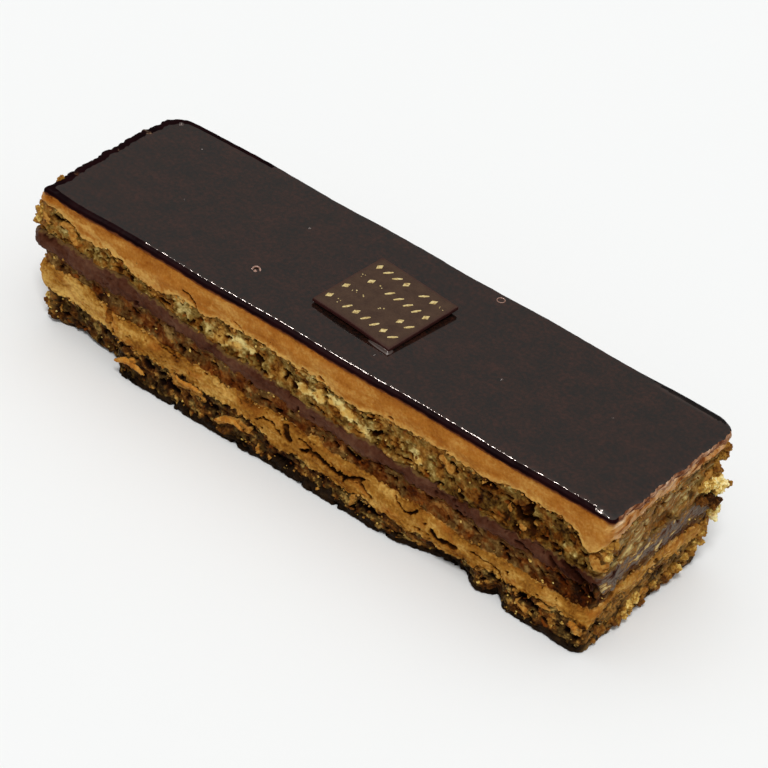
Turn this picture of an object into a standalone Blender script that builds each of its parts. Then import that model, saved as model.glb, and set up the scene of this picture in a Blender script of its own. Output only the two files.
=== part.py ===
"""An opera cake: one bar of the cake as it is sold, cut from a sheet of almond sponge, coffee cream and ganache.

Eight layers lie on each other and run through the whole bar, and a square chocolate plaque sits on the glaze.
Lengths are in millimetres up to MM, which turns them into Blender's metres. +X runs along the bar and +Z is up.
The long side at -Y and the end at +X are the two cleanest cuts; the two back corners are rounded.
"""

import math
import random

import bmesh
import bpy
from mathutils import Matrix, Vector

MM = 0.001

# The bar, measured over the cut faces.
LENGTH = 120.0
WIDTH = 35.2
BACK_CORNER_RADIUS = 4.5
COLUMN_STEP = 2.6
END_STEPS = 9
CORNER_STEPS = 4
HUB_INSET = 6.0
SEAM_GAP = 0.3

# The glaze, from the top of the upper cream to its flat top.
GLAZE_TOP = 28.9
GLAZE_LIP = 0.3
GLAZE_ROUND = 0.9

# The plaque: a square of chocolate, one corner lifted off the glaze.
PLAQUE_SIDE = 17.8
PLAQUE_THICKNESS = 0.9
PLAQUE_BEVEL = 0.2
PLAQUE_CENTRE = (0.7, -0.3)
PLAQUE_TURN = math.radians(-5.0)
PLAQUE_TILT = math.radians(-2.4)
PLAQUE_TILT_AXIS = (-0.55, 0.83, 0.0)

# Heights of each seam between two layers, along the long side at -Y and the one at +Y: (x, height).
FLOOR = {"front": [(0, 0.0)], "back": [(0, 0.0)]}
BASE_SEAM = {
    "front": [(-60, 1.5), (-38, 1.1), (-20, 1.4), (2, 1.9), (20, 1.6), (45, 1.3), (60, 1.5)],
    "back": [(-60, 1.2), (-20, 1.6), (25, 1.2), (60, 1.5)],
}
LOWER_CREAM_FOOT = {
    "front": [(-60, 8.5), (-45, 7.6), (-34, 7.0), (-20, 7.3), (-11, 7.0), (-5, 4.8), (15, 4.5),
              (30, 4.1), (45, 5.0), (54, 5.9), (60, 5.1)],
    "back": [(-60, 7.6), (-40, 6.2), (-12, 7.2), (15, 6.0), (38, 6.8), (60, 7.4)],
}
LOWER_CREAM_HEAD = {
    "front": [(-60, 14.3), (-50, 14.4), (-43, 12.2), (-30, 11.8), (-10, 11.2), (6, 10.6), (20, 10.2),
              (31, 9.2), (48, 9.3), (60, 8.8)],
    "back": [(-60, 11.6), (-30, 10.8), (0, 11.5), (30, 10.6), (60, 10.6)],
}
GANACHE_FOOT = {
    "front": [(-60, 16.8), (-48, 15.9), (-32, 16.1), (-20, 15.4), (-8, 14.2), (4, 13.4), (28, 13.4), (60, 13.0)],
    "back": [(-60, 14.8), (-25, 14.3), (10, 14.9), (60, 13.9)],
}
GANACHE_HEAD = {
    "front": [(-60, 20.2), (-45, 19.9), (-36, 19.7), (-28, 18.6), (-15, 17.3), (0, 16.3), (22, 15.9),
              (36, 15.5), (60, 16.1)],
    "back": [(-60, 18.1), (-25, 17.3), (10, 17.9), (60, 17.2)],
}
UPPER_CREAM_FOOT = {
    "front": [(-60, 26.0), (-54, 25.3), (-49.5, 22.2), (-45, 23.8), (-36, 21.0), (-28.5, 22.9), (-25, 21.8),
              (-20, 22.9), (3, 22.7), (9.5, 21.4), (14, 22.9), (36, 23.0), (43, 23.8), (54, 23.3),
              (57.4, 20.5), (60, 21.7)],
    "back": [(-60, 24.6), (-38, 22.6), (-18, 23.9), (8, 22.4), (30, 23.6), (60, 25.4)],
}
GLAZE_SEAM = {"front": [(0, 27.8)], "back": [(0, 27.8)]}

# Where the lowest layers broke away at the front when the bar was lifted, and where the base stands proud:
# (from x, to x, depth at the plate, ramp at the start, ramp at the end).
CHIPS = [
    (-68.0, -42.0, 7.4, 13.0, 1.8),
    (21.0, 37.0, 2.8, 9.0, 1.8),
    (39.5, 43.0, 2.6, 1.3, 1.3),
    (43.0, 90.0, -0.6, 3.0, 3.0),
]
CHIP_SHARE = {"floor": 1.0, "base_seam": 0.94, "lower_cream_foot": 0.12}

# How far each seam stands out past the plain outline at the two ends: (at -X, at +X).
END_REACH = {
    "floor": (0.2, -1.5),
    "base_seam": (0.4, -1.1),
    "lower_cream_foot": (0.1, -0.4),
    "lower_cream_head": (-0.4, 0.1),
    "ganache_foot": (0.6, 0.7),
    "ganache_head": (1.7, 0.9),
    "upper_cream_foot": (1.3, 0.7),
    "glaze_seam": (0.0, 0.8),
}
END_BOW = 0.9
END_DEPTH = 9.0

# The radius of the two back corners, from the plate up.
CORNER_RADIUS = {"floor": 2.0, "base_seam": 2.0, "lower_cream_foot": 2.4, "lower_cream_head": 3.0}

# Waves of the cut faces: (wavelength, height) in plan.
WAVES = [(31.0, 0.2), (13.0, 0.15), (6.7, 0.1)]


def eased(share):
    """A share from 0 to 1 that starts and ends level."""
    share = min(max(share, 0.0), 1.0)
    return share * share * (3 - 2 * share)


def along(points, x):
    """The height at x of a smooth line through (x, height) points, level where it passes each of them."""
    if x <= points[0][0]:
        return points[0][1]
    for (x0, z0), (x1, z1) in zip(points, points[1:]):
        if x <= x1:
            return z0 + (z1 - z0) * eased((x - x0) / (x1 - x0))
    return points[-1][1]


def across(y):
    """A point's place across the bar, from 0 at -Y to 1 at +Y."""
    return min(max(y / WIDTH + 0.5, 0.0), 1.0)


def seam_height(seam, x, y):
    """A seam is ruled straight from the long side at -Y to the one at +Y."""
    share = across(y)
    return along(seam["front"], x) * (1 - share) + along(seam["back"], x) * share


def chip_depth(x):
    """How far the bar is chipped at the plate, with a ramp at each end of a chip."""
    return sum(
        depth * eased((x - start) / ramp_in) * eased((end - x) / ramp_out)
        for start, end, depth, ramp_in, ramp_out in CHIPS
    )


def waves(seed, distance):
    """A smooth wander of the cut face, the same each run, at a distance along the outline."""
    phases = random.Random(seed)
    return sum(
        height * math.sin(2 * math.pi * (distance / length + phases.random()))
        for length, height in WAVES
    )


def back_columns():
    """x of each point along the long side at +Y, closer together round its two corners."""
    straight = LENGTH / 2 - BACK_CORNER_RADIUS
    count = round(2 * straight / COLUMN_STEP)
    middle = [-straight + 2 * straight * i / count for i in range(count + 1)]
    turns = [math.sin(math.pi / 2 * i / CORNER_STEPS) for i in range(1, CORNER_STEPS + 1)]
    right = [straight + BACK_CORNER_RADIUS * turn for turn in turns]
    return [-x for x in reversed(right)] + middle + right


def front_columns():
    """x of each point along the long side at -Y, as many as at the back and evenly spaced."""
    last = len(back_columns()) - 1
    return [LENGTH * (i / last - 0.5) for i in range(last + 1)]


def back_edge(x, radius):
    """y of the long side at +Y, with its round corners."""
    reach = max(abs(x) - (LENGTH / 2 - radius), 0.0)
    return WIDTH / 2 - radius + math.sqrt(max(radius**2 - reach**2, 0.0))


def outline(radius):
    """The bar's plan, anticlockwise from the front left corner: (x, y, outward x, outward y, distance)."""
    low, high = -WIDTH / 2, WIDTH / 2 - BACK_CORNER_RADIUS
    ends = [low + (high - low) * i / END_STEPS for i in range(1, END_STEPS)]
    points = [(x, low) for x in front_columns()]
    points += [(LENGTH / 2, y) for y in ends]
    points += [(x, back_edge(x, radius)) for x in reversed(back_columns())]
    points += [(-LENGTH / 2, y) for y in reversed(ends)]
    found, distance = [], 0.0
    for i, (x, y) in enumerate(points):
        before, after = points[i - 1], points[(i + 1) % len(points)]
        step = Vector((after[0] - before[0], after[1] - before[1])).normalized()
        found.append((x, y, step.y, -step.x, distance))
        distance += math.hypot(after[0] - x, after[1] - y)
    return found


def end_shift(name, x, y):
    """How far a seam's point moves along X near an end: its reach there, and the bow of the end at -X."""
    share = eased((abs(x) - LENGTH / 2 + END_DEPTH) / END_DEPTH)
    left, right = END_REACH[name]
    if x < 0:
        return -share * (left + END_BOW * math.sin(math.pi * across(y)))
    return share * right * (0.35 + 0.65 * min(1.0, 1.5 * across(y)))


def seam_loop(name, offset=0.0):
    """Plan points of a seam: the outline with its own waves, the chips and the reach of the ends."""
    loop = []
    for x, y, out_x, out_y, distance in outline(CORNER_RADIUS.get(name, BACK_CORNER_RADIUS)):
        reach = offset + waves(name, distance)
        chip = CHIP_SHARE.get(name, 0.0) * chip_depth(x) * (1 - across(y))
        loop.append((x + out_x * reach + end_shift(name, x, y), y + out_y * reach + chip))
    return loop


def cap_strips():
    """The strips of a face over the plan, front point to back point, and the two chains of points left at the ends."""
    count = len(back_columns())
    total = 2 * count + 2 * (END_STEPS - 1)
    front = list(range(count))
    back = list(range(count + END_STEPS - 1, 2 * count + END_STEPS - 1))[::-1]
    first, last = CORNER_STEPS, count - 1 - CORNER_STEPS
    strips = []
    for i in range(first, last):
        strips.append((front[i], front[i + 1], back[i + 1]))
        strips.append((front[i], back[i + 1], back[i]))
    right = list(range(front[last], back[last] + 1))
    left = [i % total for i in range(back[first], total + front[first] + 1)]
    return strips, left, right


def add_cap(shape, row, hub_height, upward):
    """Closes a ring of points with a face: strips along the bar, and a fan round a hub at each end."""
    strips, left, right = cap_strips()
    triangles = [[row[i] for i in strip] for strip in strips]
    for chain, hub_x in ((left, HUB_INSET - LENGTH / 2), (right, LENGTH / 2 - HUB_INSET)):
        hub = shape.verts.new(Vector((hub_x, 0.0, hub_height(hub_x, 0.0))) * MM)
        edges = list(zip(chain, chain[1:])) + [(chain[-1], chain[0])]
        triangles += [[row[a], row[b], hub] for a, b in edges]
    for triangle in triangles:
        shape.faces.new(triangle if upward else triangle[::-1])


def solid_from_rings(name, rings, foot_height, head_height, finish):
    """One closed object from rings of points, lowest first, with a face below and one above."""
    shape = bmesh.new()
    rows = [[shape.verts.new(Vector(point) * MM) for point in ring] for ring in rings]
    for lower, upper in zip(rows, rows[1:]):
        for i in range(len(lower)):
            j = (i + 1) % len(lower)
            shape.faces.new((lower[i], lower[j], upper[j], upper[i]))
    add_cap(shape, rows[0], foot_height, upward=False)
    add_cap(shape, rows[-1], head_height, upward=True)
    return object_from(name, shape, finish)


def object_from(name, shape, finish):
    """The named object of a bmesh, with its material."""
    mesh = bpy.data.meshes.new(name)
    shape.to_mesh(mesh)
    shape.free()
    made = bpy.data.objects.new(name, mesh)
    bpy.context.scene.collection.objects.link(made)
    mesh.materials.append(material(name, *finish))
    return made


def material(name, colour, roughness):
    """A plain finish in the layer's own colour."""
    made = bpy.data.materials.new(name)
    made.use_nodes = True
    surface = made.node_tree.nodes["Principled BSDF"]
    surface.inputs["Base Color"].default_value = (*colour, 1.0)
    surface.inputs["Roughness"].default_value = roughness
    surface.inputs["Metallic"].default_value = 0.0
    return made


def layer(name, foot, head, bulge, shares, finish):
    """A layer between two seams; its cut face bulges out, or is drawn in, by bulge at mid height."""
    foot_name, foot_seam = foot
    head_name, head_seam = head
    foot_gap = 0.0 if foot_name == "floor" else SEAM_GAP / 2
    low, high = seam_loop(foot_name), seam_loop(head_name)

    def foot_height(x, y):
        return seam_height(foot_seam, x, y) + foot_gap

    def head_height(x, y):
        return seam_height(head_seam, x, y) - SEAM_GAP / 2

    foot_z = [foot_height(*point) for point in low]
    head_z = [head_height(*point) for point in high]
    rings = [[(x, y, z) for (x, y), z in zip(low, foot_z)]]
    for share in shares:
        ring = []
        for i, (_, _, out_x, out_y, distance) in enumerate(outline(BACK_CORNER_RADIUS)):
            reach = (bulge + waves(name, distance)) * math.sin(math.pi * share)
            x = low[i][0] * (1 - share) + high[i][0] * share + out_x * reach
            y = low[i][1] * (1 - share) + high[i][1] * share + out_y * reach
            ring.append((x, y, foot_z[i] * (1 - share) + head_z[i] * share))
        rings.append(ring)
    rings.append([(x, y, z) for (x, y), z in zip(high, head_z)])
    return solid_from_rings(name, rings, foot_height, head_height, finish)


def glaze(name, finish):
    """The set glaze: it hangs over the cream in a small lip and rounds over to a flat top."""
    start = seam_height(GLAZE_SEAM, 0, 0) + SEAM_GAP / 2
    half = (GLAZE_TOP - start) / 2
    profile = [(0.0, start), (GLAZE_LIP, start + 0.6 * half)]
    for step in range(4):
        turn = math.pi / 2 * step / 3
        out = GLAZE_LIP - GLAZE_ROUND * (1 - math.cos(turn))
        profile.append((out, start + half * (1 + math.sin(turn))))
    rings = [[(x, y, z) for x, y in seam_loop("glaze_seam", out)] for out, z in profile]
    return solid_from_rings(name, rings, lambda x, y: start, lambda x, y: GLAZE_TOP, finish)


def plaque(name, finish):
    """A thin square of chocolate with softened edges, lying a little askew on the glaze."""
    shape = bmesh.new()
    bmesh.ops.create_cube(shape, size=1.0)
    bmesh.ops.scale(shape, vec=(PLAQUE_SIDE, PLAQUE_SIDE, PLAQUE_THICKNESS), verts=shape.verts)
    bmesh.ops.bevel(shape, geom=shape.edges, offset=PLAQUE_BEVEL, segments=2, affect="EDGES")
    tilt = Matrix.Rotation(PLAQUE_TILT, 4, Vector(PLAQUE_TILT_AXIS))
    bmesh.ops.transform(shape, matrix=tilt @ Matrix.Rotation(PLAQUE_TURN, 4, "Z"), verts=shape.verts)
    lift = GLAZE_TOP + SEAM_GAP - min(v.co.z for v in shape.verts)
    bmesh.ops.translate(shape, vec=(*PLAQUE_CENTRE, lift), verts=shape.verts)
    bmesh.ops.scale(shape, vec=(MM, MM, MM), verts=shape.verts)
    return object_from(name, shape, finish)


def centre_on_origin(parts):
    """Moves the whole cake so that the middle of its box stands over the origin."""
    points = [v.co for part in parts for v in part.data.vertices]
    middle = [(min(p[i] for p in points) + max(p[i] for p in points)) / 2 for i in (0, 1)]
    for part in parts:
        part.data.transform(Matrix.Translation((-middle[0], -middle[1], 0.0)))


CHOCOLATE = ((0.018, 0.009, 0.007), 0.45)
SOAKED_SPONGE = ((0.075, 0.032, 0.010), 0.7)
SPONGE = ((0.17, 0.09, 0.028), 0.75)
COFFEE_CREAM = ((0.36, 0.17, 0.04), 0.55)
GANACHE = ((0.08, 0.032, 0.018), 0.45)
GLAZE = ((0.014, 0.008, 0.007), 0.08)
PLAQUE = ((0.07, 0.035, 0.022), 0.35)

# Heights of a layer's rings between its two seams, as shares of the layer.
THIN = (0.5,)
THICK = (0.15, 0.5, 0.85)


def build_cake():
    """Clears the scene and stacks the layers from the plate up."""
    for old in list(bpy.data.objects):
        bpy.data.objects.remove(old)
    floor = ("floor", FLOOR)
    base = ("base_seam", BASE_SEAM)
    cream_foot = ("lower_cream_foot", LOWER_CREAM_FOOT)
    cream_head = ("lower_cream_head", LOWER_CREAM_HEAD)
    ganache_foot = ("ganache_foot", GANACHE_FOOT)
    ganache_head = ("ganache_head", GANACHE_HEAD)
    upper_foot = ("upper_cream_foot", UPPER_CREAM_FOOT)
    upper_head = ("glaze_seam", GLAZE_SEAM)
    parts = [
        layer("chocolate_base", floor, base, 0.0, THIN, CHOCOLATE),
        layer("bottom_sponge", base, cream_foot, -0.3, THICK, SOAKED_SPONGE),
        layer("lower_coffee_cream", cream_foot, cream_head, 0.3, THICK, COFFEE_CREAM),
        layer("middle_sponge", cream_head, ganache_foot, -0.35, THICK, SOAKED_SPONGE),
        layer("ganache", ganache_foot, ganache_head, 0.15, THICK, GANACHE),
        layer("top_sponge", ganache_head, upper_foot, -0.35, THICK, SPONGE),
        layer("upper_coffee_cream", upper_foot, upper_head, 0.2, THICK, COFFEE_CREAM),
        glaze("chocolate_glaze", GLAZE),
        plaque("chocolate_plaque", PLAQUE),
    ]
    centre_on_origin(parts)


build_cake()
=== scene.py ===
"""The looks of an opera cake: a bar of soaked almond sponge, coffee cream and ganache under a dark glaze.

The file goes up through the cake as it is built, from the chocolate base to the plaque, and ends with the crumbs
that the knife left, then the floor, the light and the camera. Lengths are in millimetres until a mesh is made.
"""

import math

import bmesh
import bpy
import numpy as np
from mathutils import Matrix, Vector
from mathutils.bvhtree import BVHTree


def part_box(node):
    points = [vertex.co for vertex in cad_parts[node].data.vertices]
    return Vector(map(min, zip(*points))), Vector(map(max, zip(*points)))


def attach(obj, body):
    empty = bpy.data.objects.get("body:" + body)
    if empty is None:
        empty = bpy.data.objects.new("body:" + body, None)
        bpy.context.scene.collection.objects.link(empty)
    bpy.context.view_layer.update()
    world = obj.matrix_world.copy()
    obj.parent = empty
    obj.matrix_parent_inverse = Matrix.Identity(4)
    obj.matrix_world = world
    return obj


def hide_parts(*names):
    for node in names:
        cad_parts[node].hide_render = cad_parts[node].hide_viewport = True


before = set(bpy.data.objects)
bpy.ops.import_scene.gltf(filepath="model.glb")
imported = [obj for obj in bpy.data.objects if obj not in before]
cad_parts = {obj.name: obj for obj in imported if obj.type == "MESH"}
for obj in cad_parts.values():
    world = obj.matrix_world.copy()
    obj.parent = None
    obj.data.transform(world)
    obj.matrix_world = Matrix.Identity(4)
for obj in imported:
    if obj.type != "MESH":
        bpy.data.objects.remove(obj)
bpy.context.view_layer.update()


# ---- The chocolate base -------------------------------------------------------------------------------------
# A coat of dark chocolate brushed under the first sponge so that the syrup can't run out. It sets about a
# millimetre thick and breaks in flakes under the knife, so its edge is ragged and dull.

MM = 0.001
STACK = ("chocolate_base", "bottom_sponge", "lower_coffee_cream", "middle_sponge", "ganache", "top_sponge",
         "upper_coffee_cream", "chocolate_glaze")
COLUMNS = 1400          # upright lines of points round the whole bar, about 0.22 mm apart
READING = 4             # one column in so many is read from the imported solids
RAY_STEP = 0.2          # height between the level rays that read them
RAY_FROM, RAY_TO = 9.0, 10.0    # how far outside the path a ray starts, and how far inside it gives up
CLEAR_OF_SEAM = 0.2     # readings nearer than this to a layer's seams are left out
DEEPEST_HOLLOW = 2.5    # a reading this far behind a layer's foremost one is left out
CORNER = 4.5            # radius of the path round the bar at its upright corners
TUCKED_IN = 0.13        # how far towards the middle line a layer's mesh goes in behind its neighbours
ROW_CROWDING = 0.45     # how much closer the rows of a cut face stand near its edges, from 0 to 1
JOIN_STEP = 0.5         # between points of the middle line, where a closed mesh's ends meet
WARM = (1.0, 0.72, 0.48)        # tint of the soft light that moist crumb and cream throw back

box_low, box_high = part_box("chocolate_glaze")
middle_x, middle_y = (box_low.x + box_high.x) / 2 / MM, (box_low.y + box_high.y) / 2 / MM
half_x, half_y = (box_high.x - box_low.x) / 2 / MM, (box_high.y - box_low.y) / 2 / MM
cake_top = box_high.z / MM


def path_round(count):
    """Points evenly spaced round the bar, which way is out at each, the points of the middle line they belong to,
    and run: how far along the cut face each point is, which is x on the front and goes on round the corners."""
    inner_x, inner_y = half_x - CORNER, half_y - CORNER
    turn = math.pi / 2 * CORNER
    knots = np.cumsum([0, inner_y, turn, 2 * inner_x, turn, 2 * inner_y, turn, 2 * inner_x, turn, inner_y])
    along = np.arange(count) / count * knots[-1]
    angle = np.radians(np.interp(along, knots, [180, 180, 270, 270, 360, 360, 450, 450, 540, 540]))
    core_x = np.interp(along, knots, np.array([-1, -1, -1, 1, 1, 1, 1, -1, -1, -1]) * inner_x)
    core_y = np.interp(along, knots, np.array([0, -1, -1, -1, -1, 1, 1, 1, 1, 0]) * inner_y)
    out = np.stack([np.cos(angle), np.sin(angle)], axis=1)
    points = np.stack([core_x, core_y], axis=1) + CORNER * out
    ridge = half_x - half_y
    spine = np.stack([np.clip(points[:, 0], -ridge, ridge), np.zeros(count)], axis=1)
    centre = (middle_x, middle_y)
    return points + centre, out, spine + centre, along - knots[2] - inner_x


def read_solids():
    """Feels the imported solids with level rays: for each column and height, which layer is met and how far out."""
    points, out, _, _ = path_round(COLUMNS // READING)
    verts, faces, owner = [], [], []
    for number, name in enumerate(STACK):
        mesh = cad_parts[name].data
        first = len(verts)
        verts += [v.co / MM for v in mesh.vertices]
        faces += [[first + i for i in face.vertices] for face in mesh.polygons]
        owner += [number] * len(mesh.polygons)
    tree = BVHTree.FromPolygons(verts, faces)
    heights = np.arange(RAY_STEP / 2, cake_top, RAY_STEP)
    layer = np.full((len(points), len(heights)), -1)
    reach = np.full(layer.shape, np.nan)
    for i, ((x, y), (ox, oy)) in enumerate(zip(points, out)):
        for j, z in enumerate(heights):
            origin = Vector((x + ox * RAY_FROM, y + oy * RAY_FROM, z))
            _, _, face, distance = tree.ray_cast(origin, Vector((-ox, -oy, 0)), RAY_FROM + RAY_TO)
            if face is not None:
                layer[i, j] = owner[face]
                reach[i, j] = RAY_FROM - distance
    return heights, layer, reach


def all_round(values, width):
    """Values at the read columns, smoothed along the bar over width readings and filled in for every column."""
    span = np.arange(-12, 13)       # wide enough for the widest smoothing here
    weights = np.exp(-0.5 * (span / width) ** 2)
    weights /= weights.sum()
    smooth = sum(w * np.roll(values, shift, axis=0) for w, shift in zip(weights, span))
    count = len(smooth)
    closed = np.concatenate([smooth, smooth[:1]])
    return np.interp(np.arange(COLUMNS) / READING, np.arange(count + 1), closed)


def filled(values):
    """Values at the read columns with the missing ones filled in from the columns beside them."""
    known = np.flatnonzero(np.isfinite(values))
    return np.interp(np.arange(len(values)), known, values[known], period=len(values))


heights, layer_met, reach_met = read_solids()
base_points, outward, spine, run = path_round(COLUMNS)
seams = [np.zeros(COLUMNS)]
for upper in range(1, len(STACK)):
    below = np.where((layer_met >= 0) & (layer_met < upper), heights, -np.inf).max(axis=1)
    above = np.where(layer_met >= upper, heights, np.inf).min(axis=1)
    seams.append(all_round(filled((below + above) / 2), 1.0))
seams.append(np.full(COLUMNS, cake_top))


def reach_of(number, shares):
    """How far out layer number's solid stands from the path, at shares of its height, for every column."""
    low, high = seams[number][::READING], seams[number + 1][::READING]
    found = np.full((len(low), len(shares)), np.nan)
    for i in range(len(low)):
        own = (layer_met[i] == number) & (heights > low[i] + CLEAR_OF_SEAM) & (heights < high[i] - CLEAR_OF_SEAM)
        if own.any():
            own &= reach_met[i] > reach_met[i][own].max() - DEEPEST_HOLLOW
            wanted = low[i] + (high[i] - low[i]) * np.asarray(shares)
            found[i] = np.interp(wanted, heights[own], reach_met[i][own])
    return np.stack([all_round(filled(found[:, j]), 1.0) for j in range(len(shares))], axis=1)


def wander(cell, seed):
    """Smooth chance values, about -1 to 1, one for each column, that close up after one round of the bar."""
    cells = max(int(round((run[-1] - run[0]) / cell)), 4)
    knots = np.random.default_rng(seed).uniform(-1, 1, cells)
    place = np.arange(COLUMNS) / COLUMNS * cells
    i = place.astype(int)
    t = place - i
    t = t * t * (3 - 2 * t)
    return knots[i % cells] * (1 - t) + knots[(i + 1) % cells] * t


def ragged(size, seed):
    """A torn edge: chance rises and dips of several lengths, up to about size."""
    return size * (0.40 * wander(5.0, seed) + 0.30 * wander(2.0, seed + 1) + 0.45 * wander(0.9, seed + 2)
                   + 0.35 * wander(0.45, seed + 3))


def cloud(u, v, cell, seed):
    """Smooth chance values, -1 to 1, over a face whose points are u along and v up."""
    wide, tall = 512, 64        # cells before the pattern repeats
    lattice = np.random.default_rng(seed).uniform(-1, 1, (wide, tall))
    i, j = np.floor(u / cell).astype(int), np.floor(v / cell).astype(int)
    s, t = u / cell - i, v / cell - j
    s, t = s * s * (3 - 2 * s), t * t * (3 - 2 * t)
    low, high = [lattice[i % wide, row % tall] * (1 - s) + lattice[(i + 1) % wide, row % tall] * s
                 for row in (j, j + 1)]
    return low * (1 - t) + high * t


def strokes(u, v, drawn, uneven=0.35, seed=1):
    """A value at each point of a face from strokes drawn on it: (points along the stroke, half width, strength).

    The edge of a stroke is uneven by up to about a third of a millimetre, as torn food is."""
    total = np.zeros_like(u)
    u = u + uneven * (cloud(u, v, 0.9, seed) + 0.5 * cloud(u, v, 0.4, seed + 1))
    v = v + uneven * 0.8 * (cloud(u, v, 0.8, seed + 2) + 0.5 * cloud(u, v, 0.4, seed + 3))
    for line, half_width, strength in drawn:
        xs = [p[0] for p in line]
        near = (u > min(xs) - half_width - 1) & (u < max(xs) + half_width + 1)
        if not near.any():
            continue
        pu, pv = u[near], v[near]
        best = np.full(pu.shape, np.inf)
        for (x0, z0), (x1, z1) in zip(line, line[1:] or line):
            dx, dz = x1 - x0, z1 - z0
            t = np.clip(((pu - x0) * dx + (pv - z0) * dz) / (dx * dx + dz * dz + 1e-9), 0, 1)
            best = np.minimum(best, np.hypot(pu - x0 - t * dx, pv - z0 - t * dz))
        edge = np.clip((half_width - best) / (0.45 * half_width), 0, 1)
        total[near] = np.maximum(total[near], strength * edge * edge * (3 - 2 * edge))
    return total


def end_face(y, z):
    """Where a place on the cut end at +X is in the run of the face."""
    return half_x + (y + half_y) - CORNER * (2 - math.pi / 2), z


def grid_of(reach, z, inset):
    """Grid points that stand reach out from the path at heights z, then drawn in level by inset."""
    points = np.zeros((COLUMNS, z.shape[1], 3))
    points[:, :, :2] = base_points[:, None, :] + outward[:, None, :] * reach[:, :, None]
    points[:, :, 2] = z
    points[:, :, :2] += (spine[:, None, :] - points[:, :, :2]) * (inset / half_y * np.ones_like(z))[:, :, None]
    return points


def tucked(points, share=TUCKED_IN):
    """The same points moved level towards the middle line."""
    moved = points.copy()
    moved[:, :, :2] += (spine[:, None, :] - points[:, :, :2]) * share
    return moved


def cut_face(number, rows, foot, head, recess=0.0, lip=0.3):
    """The grid of a layer's cut face, lowest row first, with a row at each edge that turns in behind the next.

    foot and head are the heights of its edges, recess draws the face in, and lip rounds its edges. With the points
    come out (which way is out), hold (0 where the relief stops, else 1), and low and high (how far the point is
    from each edge). The second result is where the points are on the face: how far along, and how high."""
    even = np.linspace(0, 1, rows)
    share = even - ROW_CROWDING * np.sin(2 * np.pi * even) / (2 * np.pi)
    height = (head - foot)[:, None]
    to_edge = np.minimum(share[None, :], 1 - share[None, :]) * height
    near = np.clip(1 - to_edge / lip, 0, 1)
    inset = recess + lip * (1 - np.sqrt(1 - near**2))
    points = grid_of(reach_of(number, share), foot[:, None] + share[None, :] * height, inset)
    points = np.concatenate([tucked(points[:, :1]), points, tucked(points[:, -1:])], axis=1)
    hold = np.ones(points.shape[:2])
    hold[:, [0, -1]] = 0
    out = np.zeros_like(points)
    out[:, :, :2] = outward[:, None, :]
    height = points[:, :, 2]
    face = {"points": points, "out": out, "hold": hold, "low": height - foot[:, None],
            "high": head[:, None] - height}
    return face, (run[:, None] + 0 * hold, height)


def in_scene(name, data):
    """A new object in the scene, at the origin."""
    made = bpy.data.objects.new(name, data)
    bpy.context.scene.collection.objects.link(made)
    return made


def closed_mesh(name, points, extras):
    """A closed object from a grid of points: rows round the bar, lowest first, each end closed to the middle line.

    extras are (name, values) pairs stored on the points; a value is a number or a direction for each grid point.
    """
    count, rows, _ = points.shape
    first, last = spine[:, 0].min(), spine[:, 0].max()
    join = np.linspace(first, last, int((last - first) / JOIN_STEP))
    slot = np.round((spine[:, 0] - first) / (join[1] - join[0])).astype(int)
    grid = np.arange(count * rows).reshape(count, rows)
    caps = []
    for row in (0, rows - 1):
        z = np.zeros(len(join))
        np.add.at(z, slot, points[:, row, 2])
        z /= np.maximum(np.bincount(slot, minlength=len(join)), 1)
        caps.append(np.stack([join, np.full(len(join), middle_y), z], axis=1))
    verts = np.concatenate([points.reshape(-1, 3), *caps])
    after = np.roll(grid, -1, axis=0)
    quads = np.stack([grid[:, :-1], after[:, :-1], after[:, 1:], grid[:, 1:]], axis=-1).reshape(-1, 4).tolist()
    hub = count * rows + slot
    hub_after = np.roll(hub, -1)
    for i in range(count):
        low = [grid[i, 0], hub[i], hub_after[i], after[i, 0]]
        high = [grid[i, -1], after[i, -1], hub_after[i] + len(join), hub[i] + len(join)]
        for face in (low, high):
            quads.append(list(dict.fromkeys(int(v) for v in face)))
    mesh = bpy.data.meshes.new(name)
    mesh.from_pydata((verts * MM).tolist(), [], quads)
    for key, values in extras:
        flat = np.asarray(values, dtype=np.float32).reshape(count * rows, -1)
        full = np.concatenate([flat, np.zeros((2 * len(join), flat.shape[1]), np.float32)])
        kind = "FLOAT" if full.shape[1] == 1 else "FLOAT_VECTOR"
        made = mesh.attributes.new(key, kind, "POINT")
        made.data.foreach_set("value" if kind == "FLOAT" else "vector", full.ravel())
    mesh.shade_smooth()
    return in_scene(name, mesh)


def add_node(tree, kind, inputs=(), **settings):
    """A node in a tree, with its settings, and with its inputs joined to sockets or set to plain values."""
    made = tree.nodes.new(kind)
    for key, value in settings.items():
        setattr(made, key, value)
    for key, value in dict(inputs).items():
        if isinstance(value, bpy.types.NodeSocket):
            tree.links.new(value, made.inputs[key])
        else:
            made.inputs[key].default_value = value
    return made


def maths(tree, operation, a, b=0.0, c=0.0):
    """The result of one sum on sockets or numbers, in a shader tree or a Geometry Nodes tree."""
    return add_node(tree, "ShaderNodeMath", {0: a, 1: b, 2: c}, operation=operation).outputs[0]


def vectors(tree, operation, a, b=(0, 0, 0), c=(0, 0, 0)):
    """The result of one sum on vectors; for SCALE, b is a number."""
    inputs = {0: a, "Scale": b} if operation == "SCALE" else {0: a, 1: b, 2: c}
    return add_node(tree, "ShaderNodeVectorMath", inputs, operation=operation).outputs[0]


def spread(tree, noise):
    """Noise that keeps near the middle of 0 to 1, spread to about -1 to 1."""
    return maths(tree, "MULTIPLY_ADD", noise, 4.0, -2.0)


def step_up(tree, value, low, high):
    """0 where value is under low, 1 where it is over high, and smooth between; low may be the larger of the two."""
    return add_node(tree, "ShaderNodeMapRange", {"Value": value, "From Min": low, "From Max": high},
                    interpolation_type="SMOOTHSTEP").outputs[0]


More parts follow.
